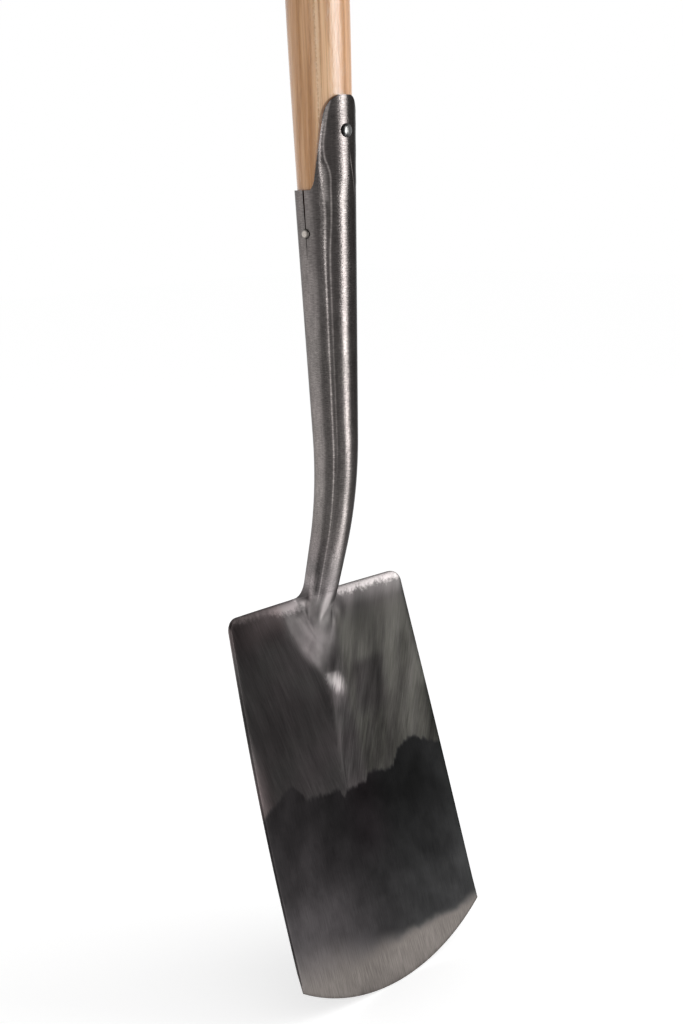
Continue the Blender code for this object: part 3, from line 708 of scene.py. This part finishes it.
def make_shaft(rim, surface):
    seat = socket_radius(SHAFT_SEAT) - SOCKET_WALL - GAP
    profile = [(0, -SHAFT_SEAT), (seat - SHAFT_TIP_CHAMFER, -SHAFT_SEAT)]
    profile.append((seat, SHAFT_TIP_CHAMFER - SHAFT_SEAT))
    heights = [SHAFT_LENGTH_ABOVE_RIM * i / SHAFT_RINGS for i in range(SHAFT_RINGS + 1)]
    profile += [(shaft_radius(height), height) for height in heights] + [(0, SHAFT_LENGTH_ABOVE_RIM)]
    piece = add_piece("ash_shaft", turned(profile, TURNED_SIDES), surface, ("shaft",), rim)
    top = rim + SHAFT_LENGTH_ABOVE_RIM
    cut(piece, turned(grip_profile(GAP), TURNED_SIDES, "X"), top)
    tenon = rod(TENON_RADIUS, -GRIP_RADIUS - TENON_RADIUS, GRIP_RADIUS, TURNED_SIDES, "Z")
    cut(piece, tenon, top, "UNION")
    cut(piece, wedge_shape(GAP, GRIP_RADIUS), top)
    bore(piece, PIN_RADIUS, -2 * GRIP_RADIUS, 2 * GRIP_RADIUS, "Y", top)
    bore(piece, RIVET_SHANK_RADIUS, -CROSS_REACH, CROSS_REACH, "Y", rim + RIVET_HEIGHT)
    nail_end = GAP + NAIL_LENGTH - socket_radius(NAIL_DEPTH_BELOW_RIM)
    bore(piece, NAIL_SHANK_RADIUS, -CROSS_REACH, nail_end, "X", rim - NAIL_DEPTH_BELOW_RIM)


def make_grip(rim, surface, wedge_surface, steel):
    top = rim + SHAFT_LENGTH_ABOVE_RIM
    grip = add_piece("ash_grip", turned(grip_profile(0), TURNED_SIDES, "X"), surface, ("grip",), top)
    reach = 2 * GRIP_RADIUS
    bore(grip, TENON_RADIUS, -reach, reach, "Z", top, TURNED_SIDES)
    bore(grip, PIN_RADIUS, -reach, reach, "Y", top)
    add_piece("wedge", wedge_shape(0, 0), wedge_surface, ("grip_wedge",), top)
    half, crown = GRIP_RADIUS, PIN_RADIUS / 4
    profile = dome(PIN_RADIUS, crown, crown - half, -1) + dome(PIN_RADIUS, crown, half - crown, 1)[::-1]
    add_piece("pin", turned(profile, SMALL_SIDES, "Y"), steel, ("grip_pin",), top)


def make_fasteners(rim, surface, washer_surface, nail_surface):
    front = -socket_radius(-RIVET_HEIGHT - RIVET_HEAD_RADIUS) - GAP
    back = shaft_radius(RIVET_HEIGHT) + WASHER_THICKNESS + 2 * GAP
    head = dome(RIVET_HEAD_RADIUS, RIVET_HEAD_HEIGHT, front, -1)
    tail = dome(RIVET_TAIL_RADIUS, RIVET_TAIL_HEIGHT, back, 1)
    shank = [(RIVET_SHANK_RADIUS, front), (RIVET_SHANK_RADIUS, back)]
    rivet = turned(head + shank + tail[::-1], SMALL_SIDES, "Y")
    add_piece("rivet", rivet, surface, ("tongue_rivet",), rim + RIVET_HEIGHT)

    inner, low = RIVET_SHANK_RADIUS + GAP, shaft_radius(RIVET_HEIGHT) + GAP
    high, chamfer = low + WASHER_THICKNESS, WASHER_THICKNESS / 4
    profile = [(inner, low), (WASHER_RADIUS, low), (WASHER_RADIUS, high - chamfer)]
    profile += [(WASHER_RADIUS - chamfer, high), (inner, high), (inner, low)]
    washer = turned(profile, 2 * SMALL_SIDES, "Y")
    bmesh.ops.remove_doubles(washer, verts=washer.verts, dist=GAP / 100)
    add_piece("washer", washer, washer_surface, ("rivet_washer",), rim + RIVET_HEIGHT)

    seat = -socket_radius(NAIL_DEPTH_BELOW_RIM - NAIL_HEAD_RADIUS) - GAP
    end = seat + NAIL_LENGTH
    profile = dome(NAIL_HEAD_RADIUS, NAIL_HEAD_HEIGHT, seat, -1)
    profile += [(NAIL_SHANK_RADIUS, seat), (NAIL_SHANK_RADIUS, end - 2 * NAIL_SHANK_RADIUS), (0, end)]
    nail = turned(profile, SMALL_SIDES, "X")
    add_piece("nail", nail, nail_surface, ("seam_nail",), rim - NAIL_DEPTH_BELOW_RIM)


def math_method(name, swapped=False):
    """A method that works out one Math node from a level and the numbers that it is given."""
    def method(level, *others):
        return level.paint.math(name, *((*others, level) if swapped else (level, *others)))
    return method


class Level:
    """A number that a material's nodes work out at each point, such as millimetres or a grey level."""

    def __init__(self, paint, socket):
        self.paint = paint
        self.socket = socket

    __add__, __radd__ = math_method("ADD"), math_method("ADD", swapped=True)
    __sub__, __rsub__ = math_method("SUBTRACT"), math_method("SUBTRACT", swapped=True)
    __mul__, __rmul__ = math_method("MULTIPLY"), math_method("MULTIPLY", swapped=True)
    __pow__ = math_method("POWER")
    __abs__ = math_method("ABSOLUTE")
    larger = math_method("MAXIMUM")
    smaller = math_method("MINIMUM")
    root = math_method("SQRT")
    sine = math_method("SINE")
    part = math_method("FRACT")
    angle_to = math_method("ARCTAN2")

    def __neg__(self):
        return self * -1

    def span(self, start, end, low=0, high=1):
        """Goes smoothly from low to high as the level goes from start to end."""
        made = self.paint.node("MapRange", self, start, end, low, high, interpolation_type="SMOOTHSTEP")
        return Level(self.paint, made.outputs[0])

    def bump_at(self, centre, reach):
        """1 where the level is at the centre, 0 beyond its reach."""
        return abs(self - centre).span(reach, 0)

    def blend(self, a, b):
        """a where the level is 0, b where it is 1."""
        made = self.paint.node("Mix", self, None, a, b, data_type="FLOAT")
        return Level(self.paint, made.outputs[0])

    def colours(self, a, b):
        """One colour where the level is 0, the other where it is 1."""
        made = self.paint.node("Mix", self, data_type="RGBA")
        for colour, socket in zip((a, b), made.inputs[6:8]):
            self.paint.put((*colour, 1) if isinstance(colour, tuple) else colour, socket)
        return made.outputs[2]

    def tinted(self, tint):
        """The level as a shade of grey from 0 to 1 on a screen, made into a colour with a faint tint."""
        made = self.paint.node("VectorMath", tint, operation="SCALE")
        self.paint.put(self**2.2, made.inputs["Scale"])
        return made.outputs[0]

    def curve(self, points, low=0, high=1):
        """A smooth curve through (position, level) points, whose levels lie between low and high."""
        start, end = points[0][0], points[-1][0]
        scaled = self.paint.node("MapRange", self, start, end)
        made = self.paint.node("FloatCurve", None, scaled.outputs[0])
        line = made.mapping.curves[0]
        while len(line.points) < len(points):
            line.points.new(0.5, 0.5)
        for point, (x, y) in zip(line.points, points):
            point.location = ((x - start) / (end - start), (y - low) / (high - low))
        made.mapping.update()
        return Level(self.paint, made.outputs[0]) * (high - low) + low


class Paint:
    """The nodes of a material or a world; lengths in them are millimetres."""

    def __init__(self, owner, shader="Principled BSDF"):
        owner.use_nodes = True
        self.owner = owner
        self.tree = owner.node_tree
        self.shader = self.tree.nodes[shader]

    def put(self, value, socket):
        value = value.socket if isinstance(value, Level) else value
        if isinstance(value, bpy.types.NodeSocket):
            self.tree.links.new(value, socket)
        else:
            socket.default_value = value

    def give(self, name, value):
        """Puts a value on one of the shader's own inputs."""
        self.put(value, self.shader.inputs[name])

    def node(self, kind, *values, **settings):
        """A new node with its first inputs filled in; None leaves one as it is."""
        made = self.tree.nodes.new("ShaderNode" + kind)
        for name, value in settings.items():
            setattr(made, name, value)
        for value, socket in zip(values, made.inputs):
            if value is not None:
                self.put(value, socket)
        return made

    def math(self, operation, *values):
        return Level(self, self.node("Math", *values, operation=operation).outputs[0])

    def millimetres(self, vector):
        """The three coordinates of a point in metres."""
        return [self.math("MULTIPLY", part, 1000) for part in self.node("SeparateXYZ", vector).outputs]

    def noise(self, x, y, z, detail, roughness, distortion=0):
        """Noise whose grains are one unit across in each of the three numbers, from 0 to 1."""
        made = self.node("TexNoise", self.node("CombineXYZ", x, y, z).outputs[0])
        made.inputs["Scale"].default_value = 1
        made.inputs["Detail"].default_value = detail
        made.inputs["Roughness"].default_value = roughness
        made.inputs["Distortion"].default_value = distortion
        return Level(self, made.outputs["Fac"]).span(0.25, 0.75)

    def bump(self, height, distance):
        made = self.node("Bump")
        made.inputs["Distance"].default_value = distance
        self.put(height, made.inputs["Height"])
        self.give("Normal", made.outputs[0])
        return made.outputs[0]


def head_surface():
    """Forged steel: ground streaks above, dark scale below, a bright band along the cutting edge."""
    paint = Paint(bpy.data.materials.new("forged_steel"))
    paint.give("Metallic", 1)
    noise = paint.noise
    x, y, v = paint.millimetres(paint.node("Attribute", attribute_name="flow").outputs["Vector"])
    s = v - 1000 * NECK_LENGTH
    on_blade = s.span(-14, 8)

    # Ground upper part: strokes run down towards the middle line; darker on the left of it and lighter on
    # the right, partly the grinding and partly painted reflection
    side = x - s.span(58, 137, -2.5, -7.5)
    away = abs(side)
    right = side.span(-3, 4)
    stroke = away + s * right.blend(0.29, 0.4)
    lane = x * 0.03
    patch = noise(stroke * 0.055, s * 0.013, lane, 2, 0.5)
    broad = noise(stroke * 0.16, s * 0.02, lane, 2, 0.55, 0.3)
    fine = noise(stroke * 0.9, s * 0.05, lane, 3, 0.65)
    hair = noise(stroke * 3.2, s * 0.09, lane, 2, 0.6)
    dark_side = 26 + patch * 5 + broad * 3 + fine * 6 + hair * 5
    dark_side *= 1 + s.bump_at(84, 32) * -0.12
    # Paler along the left edge, and painted light near the top edge left of the middle line
    dark_side += x.span(-76, -88) * s.span(66, 95) * (4 + patch * 12)
    dark_side += s.span(22, 6) * x.bump_at(-44, 30) * 17
    swing = 0.48 + patch * 0.42 + broad * 0.16 + fine * 0.26 + hair * 0.16
    swing = s.span(20, 62, 0.45, 1).blend(1, swing)
    light_side = away.curve(UPPER_RIGHT_TONES, 0, 255) * swing
    # Painted light near the top edge right of the middle line
    light_side += s.span(20, 7) * x.span(22, 32) * 20
    # A dimmer patch right of the dent
    dim_patch = x + (s - 75) * 0.2
    dim_patch = dim_patch.span(17, 26) * dim_patch.span(58, 44) * s.span(52, 62) * s.span(102, 86)
    faded = x.span(60, 74) * s.span(80, 100) * 0.15
    faded += x.bump_at(10, 18) * s.span(88, 106) * 0.16 + dim_patch * 0.26
    light_side *= 1 - faded
    upper = right.blend(dark_side, light_side)
    # A lighter streak down the middle line
    upper += side.bump_at(4, 16) * s.span(95, 55, 0, 12)

    # Dark scale of the lower part
    leftness = x.span(10, -80)
    lower = 19 + leftness * 10 + x.span(60, 90, 0, 6)
    lower += s.span(143, 270) * (15.5 + leftness * 7.5)
    grain = noise(x * 1.4, s * 0.07, 3, 3, 0.65)
    cloud = noise(x * 0.045, s * 0.035, 8, 3, 0.55)
    lower *= 0.76 + grain * 0.2 + cloud * 0.28

    # The line of rounded lobes between them
    ragged = noise(x * 0.3, s * 0.1, 5, 3, 0.6)
    level = x.curve(SCALE_LINE, 115, 150) + ragged * 3 - 1.5
    below = (s - level).span(-1.2, 2.6)
    tone = below.blend(upper, lower)

    # Bright ground band along the cutting edge
    into = s - (x.curve(BAND_LINE, 200, 300) + grain * 2 + cloud * 5 - 3.5)
    reach = x.span(30, -85, 4, 22)
    band = into.span(-reach, reach)
    bright = s.span(250, 272, 54, 63) + grain * 20 + cloud * 9 + x.span(-30, -80, 0, 8)
    tone = band.blend(tone, bright)

    # Boss pad, darker towards its tip and with painted shade on its right slope; a painted highlight along
    # the rolled tread and another in the dent below the boss; all on the working face
    working = y.span(8, 1)
    outline = s.curve([(0, 31), (10, 29), (20, 27), (32, 23.5), (44, 16.5), (55, 6), (62, 0)], 0, 40)
    within = outline - (abs(x + s * 0.035 + 1) + broad * 3 - 1.5)
    soft = s.span(38, 16, 0, 8)
    pad = (within + soft).span(-5, soft * 2 + 8)
    pad *= on_blade * s.span(63, 54) * working
    # Painted shade on the pad's right slope
    pad_tone = x.span(-14, 18, 62, 66) + noise(x * 0.09, s * 0.05, 1, 3, 0.6) * 14 + fine * 5
    pad_tone *= s.span(45, 58, 1, 0.68) * s.span(35, 48).blend(1, x.span(-9, -3, 1, 0.76))
    tone = pad.blend(tone, pad_tone)
    # Painted highlight along the rolled top edge
    speck = noise(x * 0.4, s * 0.3, 12, 3, 0.7)
    tread_end = 0.8 + speck * 4 + broad * 3 + x.bump_at(27, 20)
    tread_end += x.bump_at(-24, 22) * 3.5 + x.span(-36, -56, 0, -3)
    tread_highlight = (s - tread_end).span(4.5, -2.5) * on_blade * working
    tread_highlight *= (x - s).span(17.8, 20.2).larger(x.span(-11, -14.5))
    tone = (tread_highlight * 0.8).blend(tone, x.curve(TREAD_HIGHLIGHT_TONES, 0, 255))
    # Painted highlight in the dent below the boss
    dent = (((x + 20 + s * -0.38) * 0.125) ** 2 + ((s - 65.5) * 0.095) ** 2).root()
    polished = (dent + fine * 0.6 + hair * 0.3).span(1.7, 0.6)
    polished *= (s + fine * 2).span(57.5, 60.5) * working
    tone = polished.blend(tone, 104)

    # Painted highlight along the left rim, strongest near the corner
    bow = (s * (pi / 1000 / BLADE_SIDE_LENGTH)).sine() * (1000 * BLADE_SIDE_BOW)
    widening = (BLADE_EDGE_WIDTH - BLADE_TOP_WIDTH) / 2 / BLADE_SIDE_LENGTH
    half = 500 * BLADE_TOP_WIDTH + s * widening + bow
    rim = (x + half).span(1.5, 0.1) * on_blade * s.span(236, 200)
    tone += rim * s.span(20, 70, 46, 14)

    # Painted highlight down the neck's front line to a point on the boss, with painted light beside it on
    # the right
    crest = abs(x + s * 0.04 + 2.8) - s.span(25, 4, 0, 3.2)
    crest = crest.span(1.8, -1.6) * s.span(25, 15) * working
    tone *= working.span(0, 1, 1.5, 1)
    tone += s.span(3, 8) * s.span(26, 18) * x.bump_at(4, 9) * 34
    tone += s.span(6, 12) * s.span(36, 24) * x.bump_at(19, 8) * 13
    tone = crest.blend(tone, 120)

    # Neck and socket: paler ground flanks and a darker front, partly painted reflection; two lines down
    # each side, worn bright and partly painted highlight
    turn = x.angle_to(-y) * DEGREES
    degrees = abs(turn)
    flank = degrees + v.bump_at(70, 64) * 6.5 + v.span(36, 22, 0, 3)
    tube = flank.curve(TUBE_TONES, 0, 255)
    front = turn + noise(v * 1.1, turn * 0.05, 9, 2, 0.6) * 5 - 2.5
    # Painted highlight down the neck's front, and painted light on its left near the foot
    tube += front.bump_at(-12.5, 14) * v.span(215, 278, 38, 0)
    tube += v.span(180, 285) * degrees.span(80, 40, 0, 26)
    outer = v.curve(OUTER_LINE, 0, 80)
    inner = v.curve(INNER_LINE, 0, 80)
    beside = outer - degrees
    collar = (degrees - inner).span(0, 3) * beside.span(-2, 2)
    tube = (collar * v.span(30, 5)).blend(tube, 68)
    worn = noise(v * 0.35, 1, 7, 3, 0.6)
    ticks = noise(degrees * 0.09, v * 1.6, 4, 2, 0.6)
    rubbed = beside.span(12.5, 4) * beside.span(-1, 1) * v.span(-19, -12)
    rubbed *= v.span(12, 3) * (0.7 + ticks * 0.3)
    tube = rubbed.blend(tube, 126)
    ragged = 2.6 + ticks * v.span(80, 20, 1.6, 3.6)
    tube = (degrees.bump_at(outer, ragged) * (0.6 + worn * 0.4)).blend(tube, v.curve(OUTER_TONES, 0, 255))
    faint = v.span(50, 110, 1, 0.55) * v.span(205, 160)
    faint *= degrees.bump_at(inner, 3.2) * (0.5 + worn * 0.4)
    tube = faint.blend(tube, 140)
    # A painted reflection: a thin pale line slanting down the tongue's right side
    reflection_line = turn - v.span(-24, 4, 10, 24)
    reflection_line = reflection_line.bump_at(0, 2) * v.span(7, 1) * v.span(-26, -18)
    tube = (reflection_line * 0.8).blend(tube, 150)
    scuffs = noise(degrees * 0.25, v * 0.06, 6, 3, 0.6)
    blotch = noise(degrees * 0.03, v * 0.07, 11, 3, 0.6)
    wear = 0.74 + ticks * 0.26 + scuffs * 0.13 + blotch * 0.12
    tube *= wear * v.span(120, 170, 1, 1.07) * v.span(205, 235, 1, 0.95)
    # Painted shade on the tube's right side; painted light left of its front, on its left flank and across
    # the tongue's front
    tube *= 1 + turn.span(12, 24) * -0.15
    painted_light = turn.bump_at(-26, 16) * v.span(70, 150) * 0.14
    painted_light += turn.span(-68, -78) * v.span(40, 70) * 0.08
    tube *= 1 + painted_light
    tube *= 1 + turn.bump_at(0, 11) * v.span(26, -4) * 0.35
    tone = on_blade.blend(tube, tone)

    # Painted light in the concave fillet round the neck's foot, on its left, and painted shade where the
    # neck meets the blade on its right
    foot = turn.span(-62, -69) * turn.span(-90, -77) * s.span(-26, -10) * 0.62
    foot += turn.span(-78, -88) * s.span(-18, -9) * 0.15
    foot *= s.span(0, -8)
    root = turn.curve(ROOT_PAINTED_LIGHT, 0, 2)
    below_root = s - ((turn + 67) * 0.28).smaller(0)
    root *= s.span(-9, -1) * below_root.span(21, 9) * x.span(-15.5, -12.5)
    root *= turn.span(-95, -71).larger(s.span(0, 5))
    gutter_shade = x.bump_at(14.5, 4) * s.bump_at(19, 8) * -0.2
    tone *= 1 + foot + root + gutter_shade

    # Faint colours
    warmth = noise(x * 0.03, s * 0.03, 2, 2, 0.5)
    tint = warmth.colours((1.05, 0.99, 0.97), (1.09, 0.97, 0.98))
    greenish = right * s.span(10, 30) * below.span(1, 0) * x.span(8, 20)
    greenish *= 1 - dim_patch * 0.8
    tint = (greenish * (0.6 + broad * 0.4)).colours(tint, (1.025, 1, 0.885))
    reddish = x.span(-72, -86) * s.span(80, 118) * below.span(1, 0)
    reddish = reddish.larger(s.span(32, 14) * x.span(-28, -38) * on_blade)
    tint = (reddish * 0.8).colours(tint, (1.17, 0.95, 0.95))
    cool = x.span(-50, 50).colours((1.07, 0.985, 1.02), (0.98, 1, 1.01))
    cool = (x.bump_at(4, 30) * s.span(205, 170)).colours(cool, (1.13, 0.97, 1.05))
    tint = (below * 0.9).colours(tint, cool)
    tint = band.colours(tint, (1.09, 0.98, 0.91))
    tint = (v.span(285, 230) * 0.6).colours(tint, (1.1, 0.985, 0.93))
    paint.give("Base Color", (tone * (1 / 255)).tinted(tint))

    # Gloss, and relief that turns the tube's reflections
    tube_rough = v.span(235, 285, 0.2, 0.36) + v.span(60, 5, 0, -0.075)
    rough = on_blade.blend(tube_rough, below.blend(pad.blend(0.38, 0.5), 0.42))
    rough += below.blend(fine, grain) * 0.08
    paint.give("Roughness", rough)
    paint.give("Specular Tint", (0.5, 0.5, 0.5, 1))
    dimples = noise(degrees * 0.3, v * 1.3, 13, 2, 0.6)
    swerve = v.span(8, -10, 0, 0.9) + v.span(100, 40, 0, 0.6) + v.span(150, 205, 0, 0.75)
    facing = turn.span(-45, 30, -30, 30) + turn.span(50, 150, 0, -60)
    relief = on_blade.blend(ticks + dimples * 1.6 + swerve * facing, below.blend(hair * 0.7, grain * 0.6))
    paint.bump(relief, 0.00003)
    return paint.owner


def fitting_surface(name, tone, roughness, head=None, tint=(1, 0.99, 0.97)):
    """Hammered rivet and nail steel, with painted shade round the border of a head: its axis, middle and
    reach.
    """
    paint = Paint(bpy.data.materials.new(name))
    paint.give("Metallic", 1)
    x, y, z = paint.millimetres(paint.node("TexCoord").outputs["Object"])
    specks = paint.noise(x * 1.4, y * 1.4, z * 1.4, 3, 0.6)
    dents = paint.noise(x * 0.5, y * 0.5, z * 0.5, 1, 0.5)
    level = tone / 255 * (0.8 + specks * 0.3 + dents * 0.1)
    if head:
        axis, middle, reach = head
        across = y if axis == "X" else x
        out = (across**2 + (z - middle) ** 2).root()
        # Painted shade round the head's border
        level = level * out.span(0.5 * reach, reach, 1, 0.35)
    paint.give("Base Color", level.tinted(tint))
    paint.give("Roughness", roughness + specks * 0.12)
    paint.bump(dents + specks * 0.3, 0.00008)
    return paint.owner


def ash_surface(name, rim, wood, seed, along="Z"):
    """Varnished ash: straight grain lengthwise, porous early wood in dark streaks, fine pores."""
    paint = Paint(bpy.data.materials.new(name))
    paint.give("Metallic", 0)
    pale, honey, brown, rosy = wood
    x, y, z = paint.millimetres(paint.node("TexCoord").outputs["Object"])
    height = z - 1000 * rim
    if along == "X":
        x, y, z = height - 1000 * SHAFT_LENGTH_ABOVE_RIM, y, x

    def grain(across, down, detail, roughness):
        return paint.noise(x * across, y * across, z * down, detail, roughness)

    depth_x = x - (64 + seed) + grain(0.02, 0.004, 2, 0.5) * 5
    depth_y = y + 52
    radius = (depth_x * depth_x + depth_y * depth_y).root()
    early = (radius * 0.165).part().curve(EARLY_WOOD)
    fibre = grain(1.1, 0.012, 3, 0.6)
    streak = grain(0.3, 0.006, 2, 0.6)
    thread = grain(2.6, 0.05, 2, 0.6)
    amber = grain(0.24, 0.005, 2, 0.55).span(0.35, 0.9)
    base = (streak * 0.75).colours(pale, rosy)
    base = (amber * 0.6).colours(base, honey)
    base = (early * (0.5 + fibre * 0.4)).colours(base, honey)
    pores = grain(2.2, 0.1, 1, 0.5).span(0.62, 0.9) * (0.1 + early * 0.9)
    base = (pores * 0.5).colours(base, brown)
    base = (thread * 0.2).colours(base, brown)
    if name == "ash_shaft":
        turn = x.angle_to(-y) * DEGREES
        flecks = paint.noise(turn * 0.3, 2, z * 0.5, 3, 0.7)
        lines = paint.noise(turn * 0.2, 5, z * 0.006, 2, 0.6)
        base = lines.span(0.55, 0.8, 0, 0.18).colours(base, brown)
        fair = turn.bump_at(-36, 32) * lines.span(0.62, 0.38, 0.05, 0.8)
        base = fair.colours(base, (1, 0.63, 0.35))
        # A painted glint: a thin pale line down the shaft, left of its front
        painted_glint = (turn + flecks * 5).bump_at(-46, 6)
        base = (painted_glint * (0.25 + flecks * 0.55)).colours(base, (1, 0.71, 0.43))
        # Painted shade with grime on the wood beside the tongue and the rim
        base = tongue_shade(x, y, height).colours(base, brown)
    paint.give("Base Color", base)
    paint.give("Roughness", 0.46 + fibre * 0.14)
    paint.give("Specular IOR Level", 0.1)
    paint.give("Coat Weight", 0.75)
    paint.give("Coat IOR", 1.75)
    paint.give("Coat Roughness", 0.07)
    ragged = grain(0.9, 0.22, 2, 0.6)
    relief = paint.bump(thread * 0.5 + pores * -0.6 + ragged, 0.00006)
    paint.give("Coat Normal", relief)
    return paint.owner


def tongue_shade(x, y, height):
    """1 on the wood beside the tongue's edge and the rim: painted shade there, with grime."""
    length = 1000 * TONGUE_LENGTH
    shares = [i / 24 for i in range(24)] + [0.985, 1]
    outline = [(length * t, 1000 * tongue_half_width(TONGUE_LENGTH * t)) for t in shares]
    beside = abs(x.angle_to(-y)) * (1000 * SOCKET_RIM_RADIUS) - height.curve(outline, 0, 30)
    side = beside.span(1.3, 0) * height.span(length + 0.8, length - 1)
    return side.larger(height.span(1.2, 0)) * 0.85


def add_floor():
    mesh = bpy.data.meshes.new("floor")
    corners = [(FLOOR_HALF * i, FLOOR_HALF * k, 0) for i, k in ((-1, -1), (1, -1), (1, 1), (-1, 1))]
    mesh.from_pydata(corners, [], [(0, 1, 2, 3)])
    floor = in_scene("floor", mesh)
    paint = Paint(bpy.data.materials.new("floor"))
    diffuse = paint.node("BsdfDiffuse", (0.8, 0.8, 0.8, 1))
    glow = paint.node("Emission", None, seen(paint, FLOOR_GLOW, 0))
    total = paint.node("AddShader", diffuse.outputs[0], glow.outputs[0])
    paint.put(total.outputs[0], paint.tree.nodes["Material Output"].inputs["Surface"])
    paint.tree.nodes.remove(paint.shader)
    mesh.materials.append(paint.owner)


def seen(paint, strength, otherwise):
    """One strength for rays from the camera, mirrors and glass, another for all other light."""
    path = paint.node("LightPath")
    either = path.outputs["Is Camera Ray"]
    for name in ("Is Glossy Ray", "Is Transmission Ray"):
        either = paint.math("MAXIMUM", either, path.outputs[name])
    return either.blend(otherwise, strength)


def add_world():
    world = bpy.data.worlds.new("studio")
    bpy.context.scene.world = world
    paint = Paint(world, "Background")
    paint.give("Color", (1, 1, 1, 1))
    paint.give("Strength", seen(paint, 1, WORLD_FILL))


def area_light(name, width, length, radiance):
    """A soft rectangular light that the camera doesn't see, as strong as its radiance in any size."""
    lamp = bpy.data.lights.new(name, "AREA")
    lamp.shape = "RECTANGLE"
    lamp.size = width
    lamp.size_y = length
    lamp.energy = radiance * pi * width * length
    holder = in_scene(name, lamp)
    holder.visible_camera = False
    return holder


def add_softbox(name, azimuth, distance, low, high, width, radiance, aim, diffuse=True, glossy=True):
    """A tall light at an azimuth round the spade, facing its axis at the height of the aim."""
    holder = area_light(name, width, high - low, radiance)
    turn = radians(azimuth)
    spot = Vector((distance * sin(turn), -distance * cos(turn), (low + high) / 2))
    holder.location = spot
    holder.rotation_euler = (Vector((0, 0, aim)) - spot).to_track_quat("-Z", "Y").to_euler()
    holder.visible_diffuse = diffuse
    holder.visible_glossy = glossy


def add_low_light(name, azimuth, near, far, width, radiance):
    """A light that lies on the floor in front of the spade and shines up, seen in polished steel only."""
    holder = area_light(name, width, far - near, radiance)
    turn = radians(azimuth)
    middle = (near + far) / 2
    holder.location = (middle * sin(turn), -middle * cos(turn), LOW_LIGHT_HEIGHT)
    holder.rotation_euler = (pi, 0, turn)
    holder.visible_diffuse = False


def add_camera(rim):
    toward = Vector((
        sin(CAMERA_AZIMUTH) * cos(CAMERA_ELEVATION),
        -cos(CAMERA_AZIMUTH) * cos(CAMERA_ELEVATION),
        sin(CAMERA_ELEVATION),
    ))
    level = Vector((cos(CAMERA_AZIMUTH), sin(CAMERA_AZIMUTH), 0))
    target = Vector((0, 0, rim - CAMERA_TARGET_BELOW_RIM)) + level * CAMERA_TARGET_SIDE
    place_at = target + toward * CAMERA_DISTANCE
    rise = toward.cross(level)
    across = level * cos(CAMERA_ROLL) + rise * sin(CAMERA_ROLL)
    upward = rise * cos(CAMERA_ROLL) - level * sin(CAMERA_ROLL)
    lens = bpy.data.cameras.new("camera")
    lens.lens = CAMERA_LENS
    lens.sensor_fit = "VERTICAL"
    lens.sensor_width, lens.sensor_height = CAMERA_SENSOR
    lens.shift_y = CAMERA_SHIFT_Y
    camera = in_scene("camera", lens)
    turn = Matrix((across, upward, toward)).transposed().to_4x4()
    camera.matrix_world = Matrix.Translation(place_at) @ turn
    bpy.context.scene.camera = camera


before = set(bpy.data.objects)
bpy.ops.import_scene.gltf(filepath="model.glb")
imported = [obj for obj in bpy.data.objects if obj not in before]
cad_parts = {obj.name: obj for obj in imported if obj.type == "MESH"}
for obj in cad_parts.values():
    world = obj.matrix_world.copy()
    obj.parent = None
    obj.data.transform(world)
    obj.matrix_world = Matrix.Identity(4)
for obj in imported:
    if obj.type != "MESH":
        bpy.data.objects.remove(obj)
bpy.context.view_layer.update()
rim_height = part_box("shaft")[0].z + SHAFT_SEAT

rivet_middle = 1000 * (rim_height + RIVET_HEIGHT)
nail_middle = 1000 * (rim_height - NAIL_DEPTH_BELOW_RIM)
pin_steel = fitting_surface("pin_steel", 110, 0.2)
rivet_steel = fitting_surface("rivet_steel", 96, 0.09, ("Y", rivet_middle, 1000 * RIVET_HEAD_RADIUS))
nail_head = ("X", nail_middle, 1000 * NAIL_HEAD_RADIUS)
nail_steel = fitting_surface("nail_steel", 176, 0.28, nail_head, (1.08, 0.99, 0.9))
wedge_wood = ash_surface("wedge_wood", rim_height, WEDGE_WOOD, 4)
make_head(rim_height, head_surface())
make_shaft(rim_height, ash_surface("ash_shaft", rim_height, ASH, 0))
make_grip(rim_height, ash_surface("ash_grip", rim_height, ASH, 9, "X"), wedge_wood, pin_steel)
make_fasteners(rim_height, rivet_steel, pin_steel, nail_steel)

add_floor()
add_world()
add_softbox("strip", azimuth=20, distance=1.4, low=0, high=1.15, width=0.66, radiance=9.9, aim=0.5,
            diffuse=False)
add_low_light("low_strip", azimuth=20, near=0.15, far=1.39, width=0.26, radiance=5.5)
add_softbox("thin_strip", azimuth=-61, distance=1.4, low=0.02, high=1.3, width=0.07, radiance=6, aim=0.6,
            diffuse=False)
add_softbox("soft_key", azimuth=48, distance=1.5, low=0.1, high=1.6, width=1, radiance=2.4, aim=0.7,
            glossy=False)
add_camera(rim_height)
bpy.context.scene.view_settings.view_transform = "Standard"
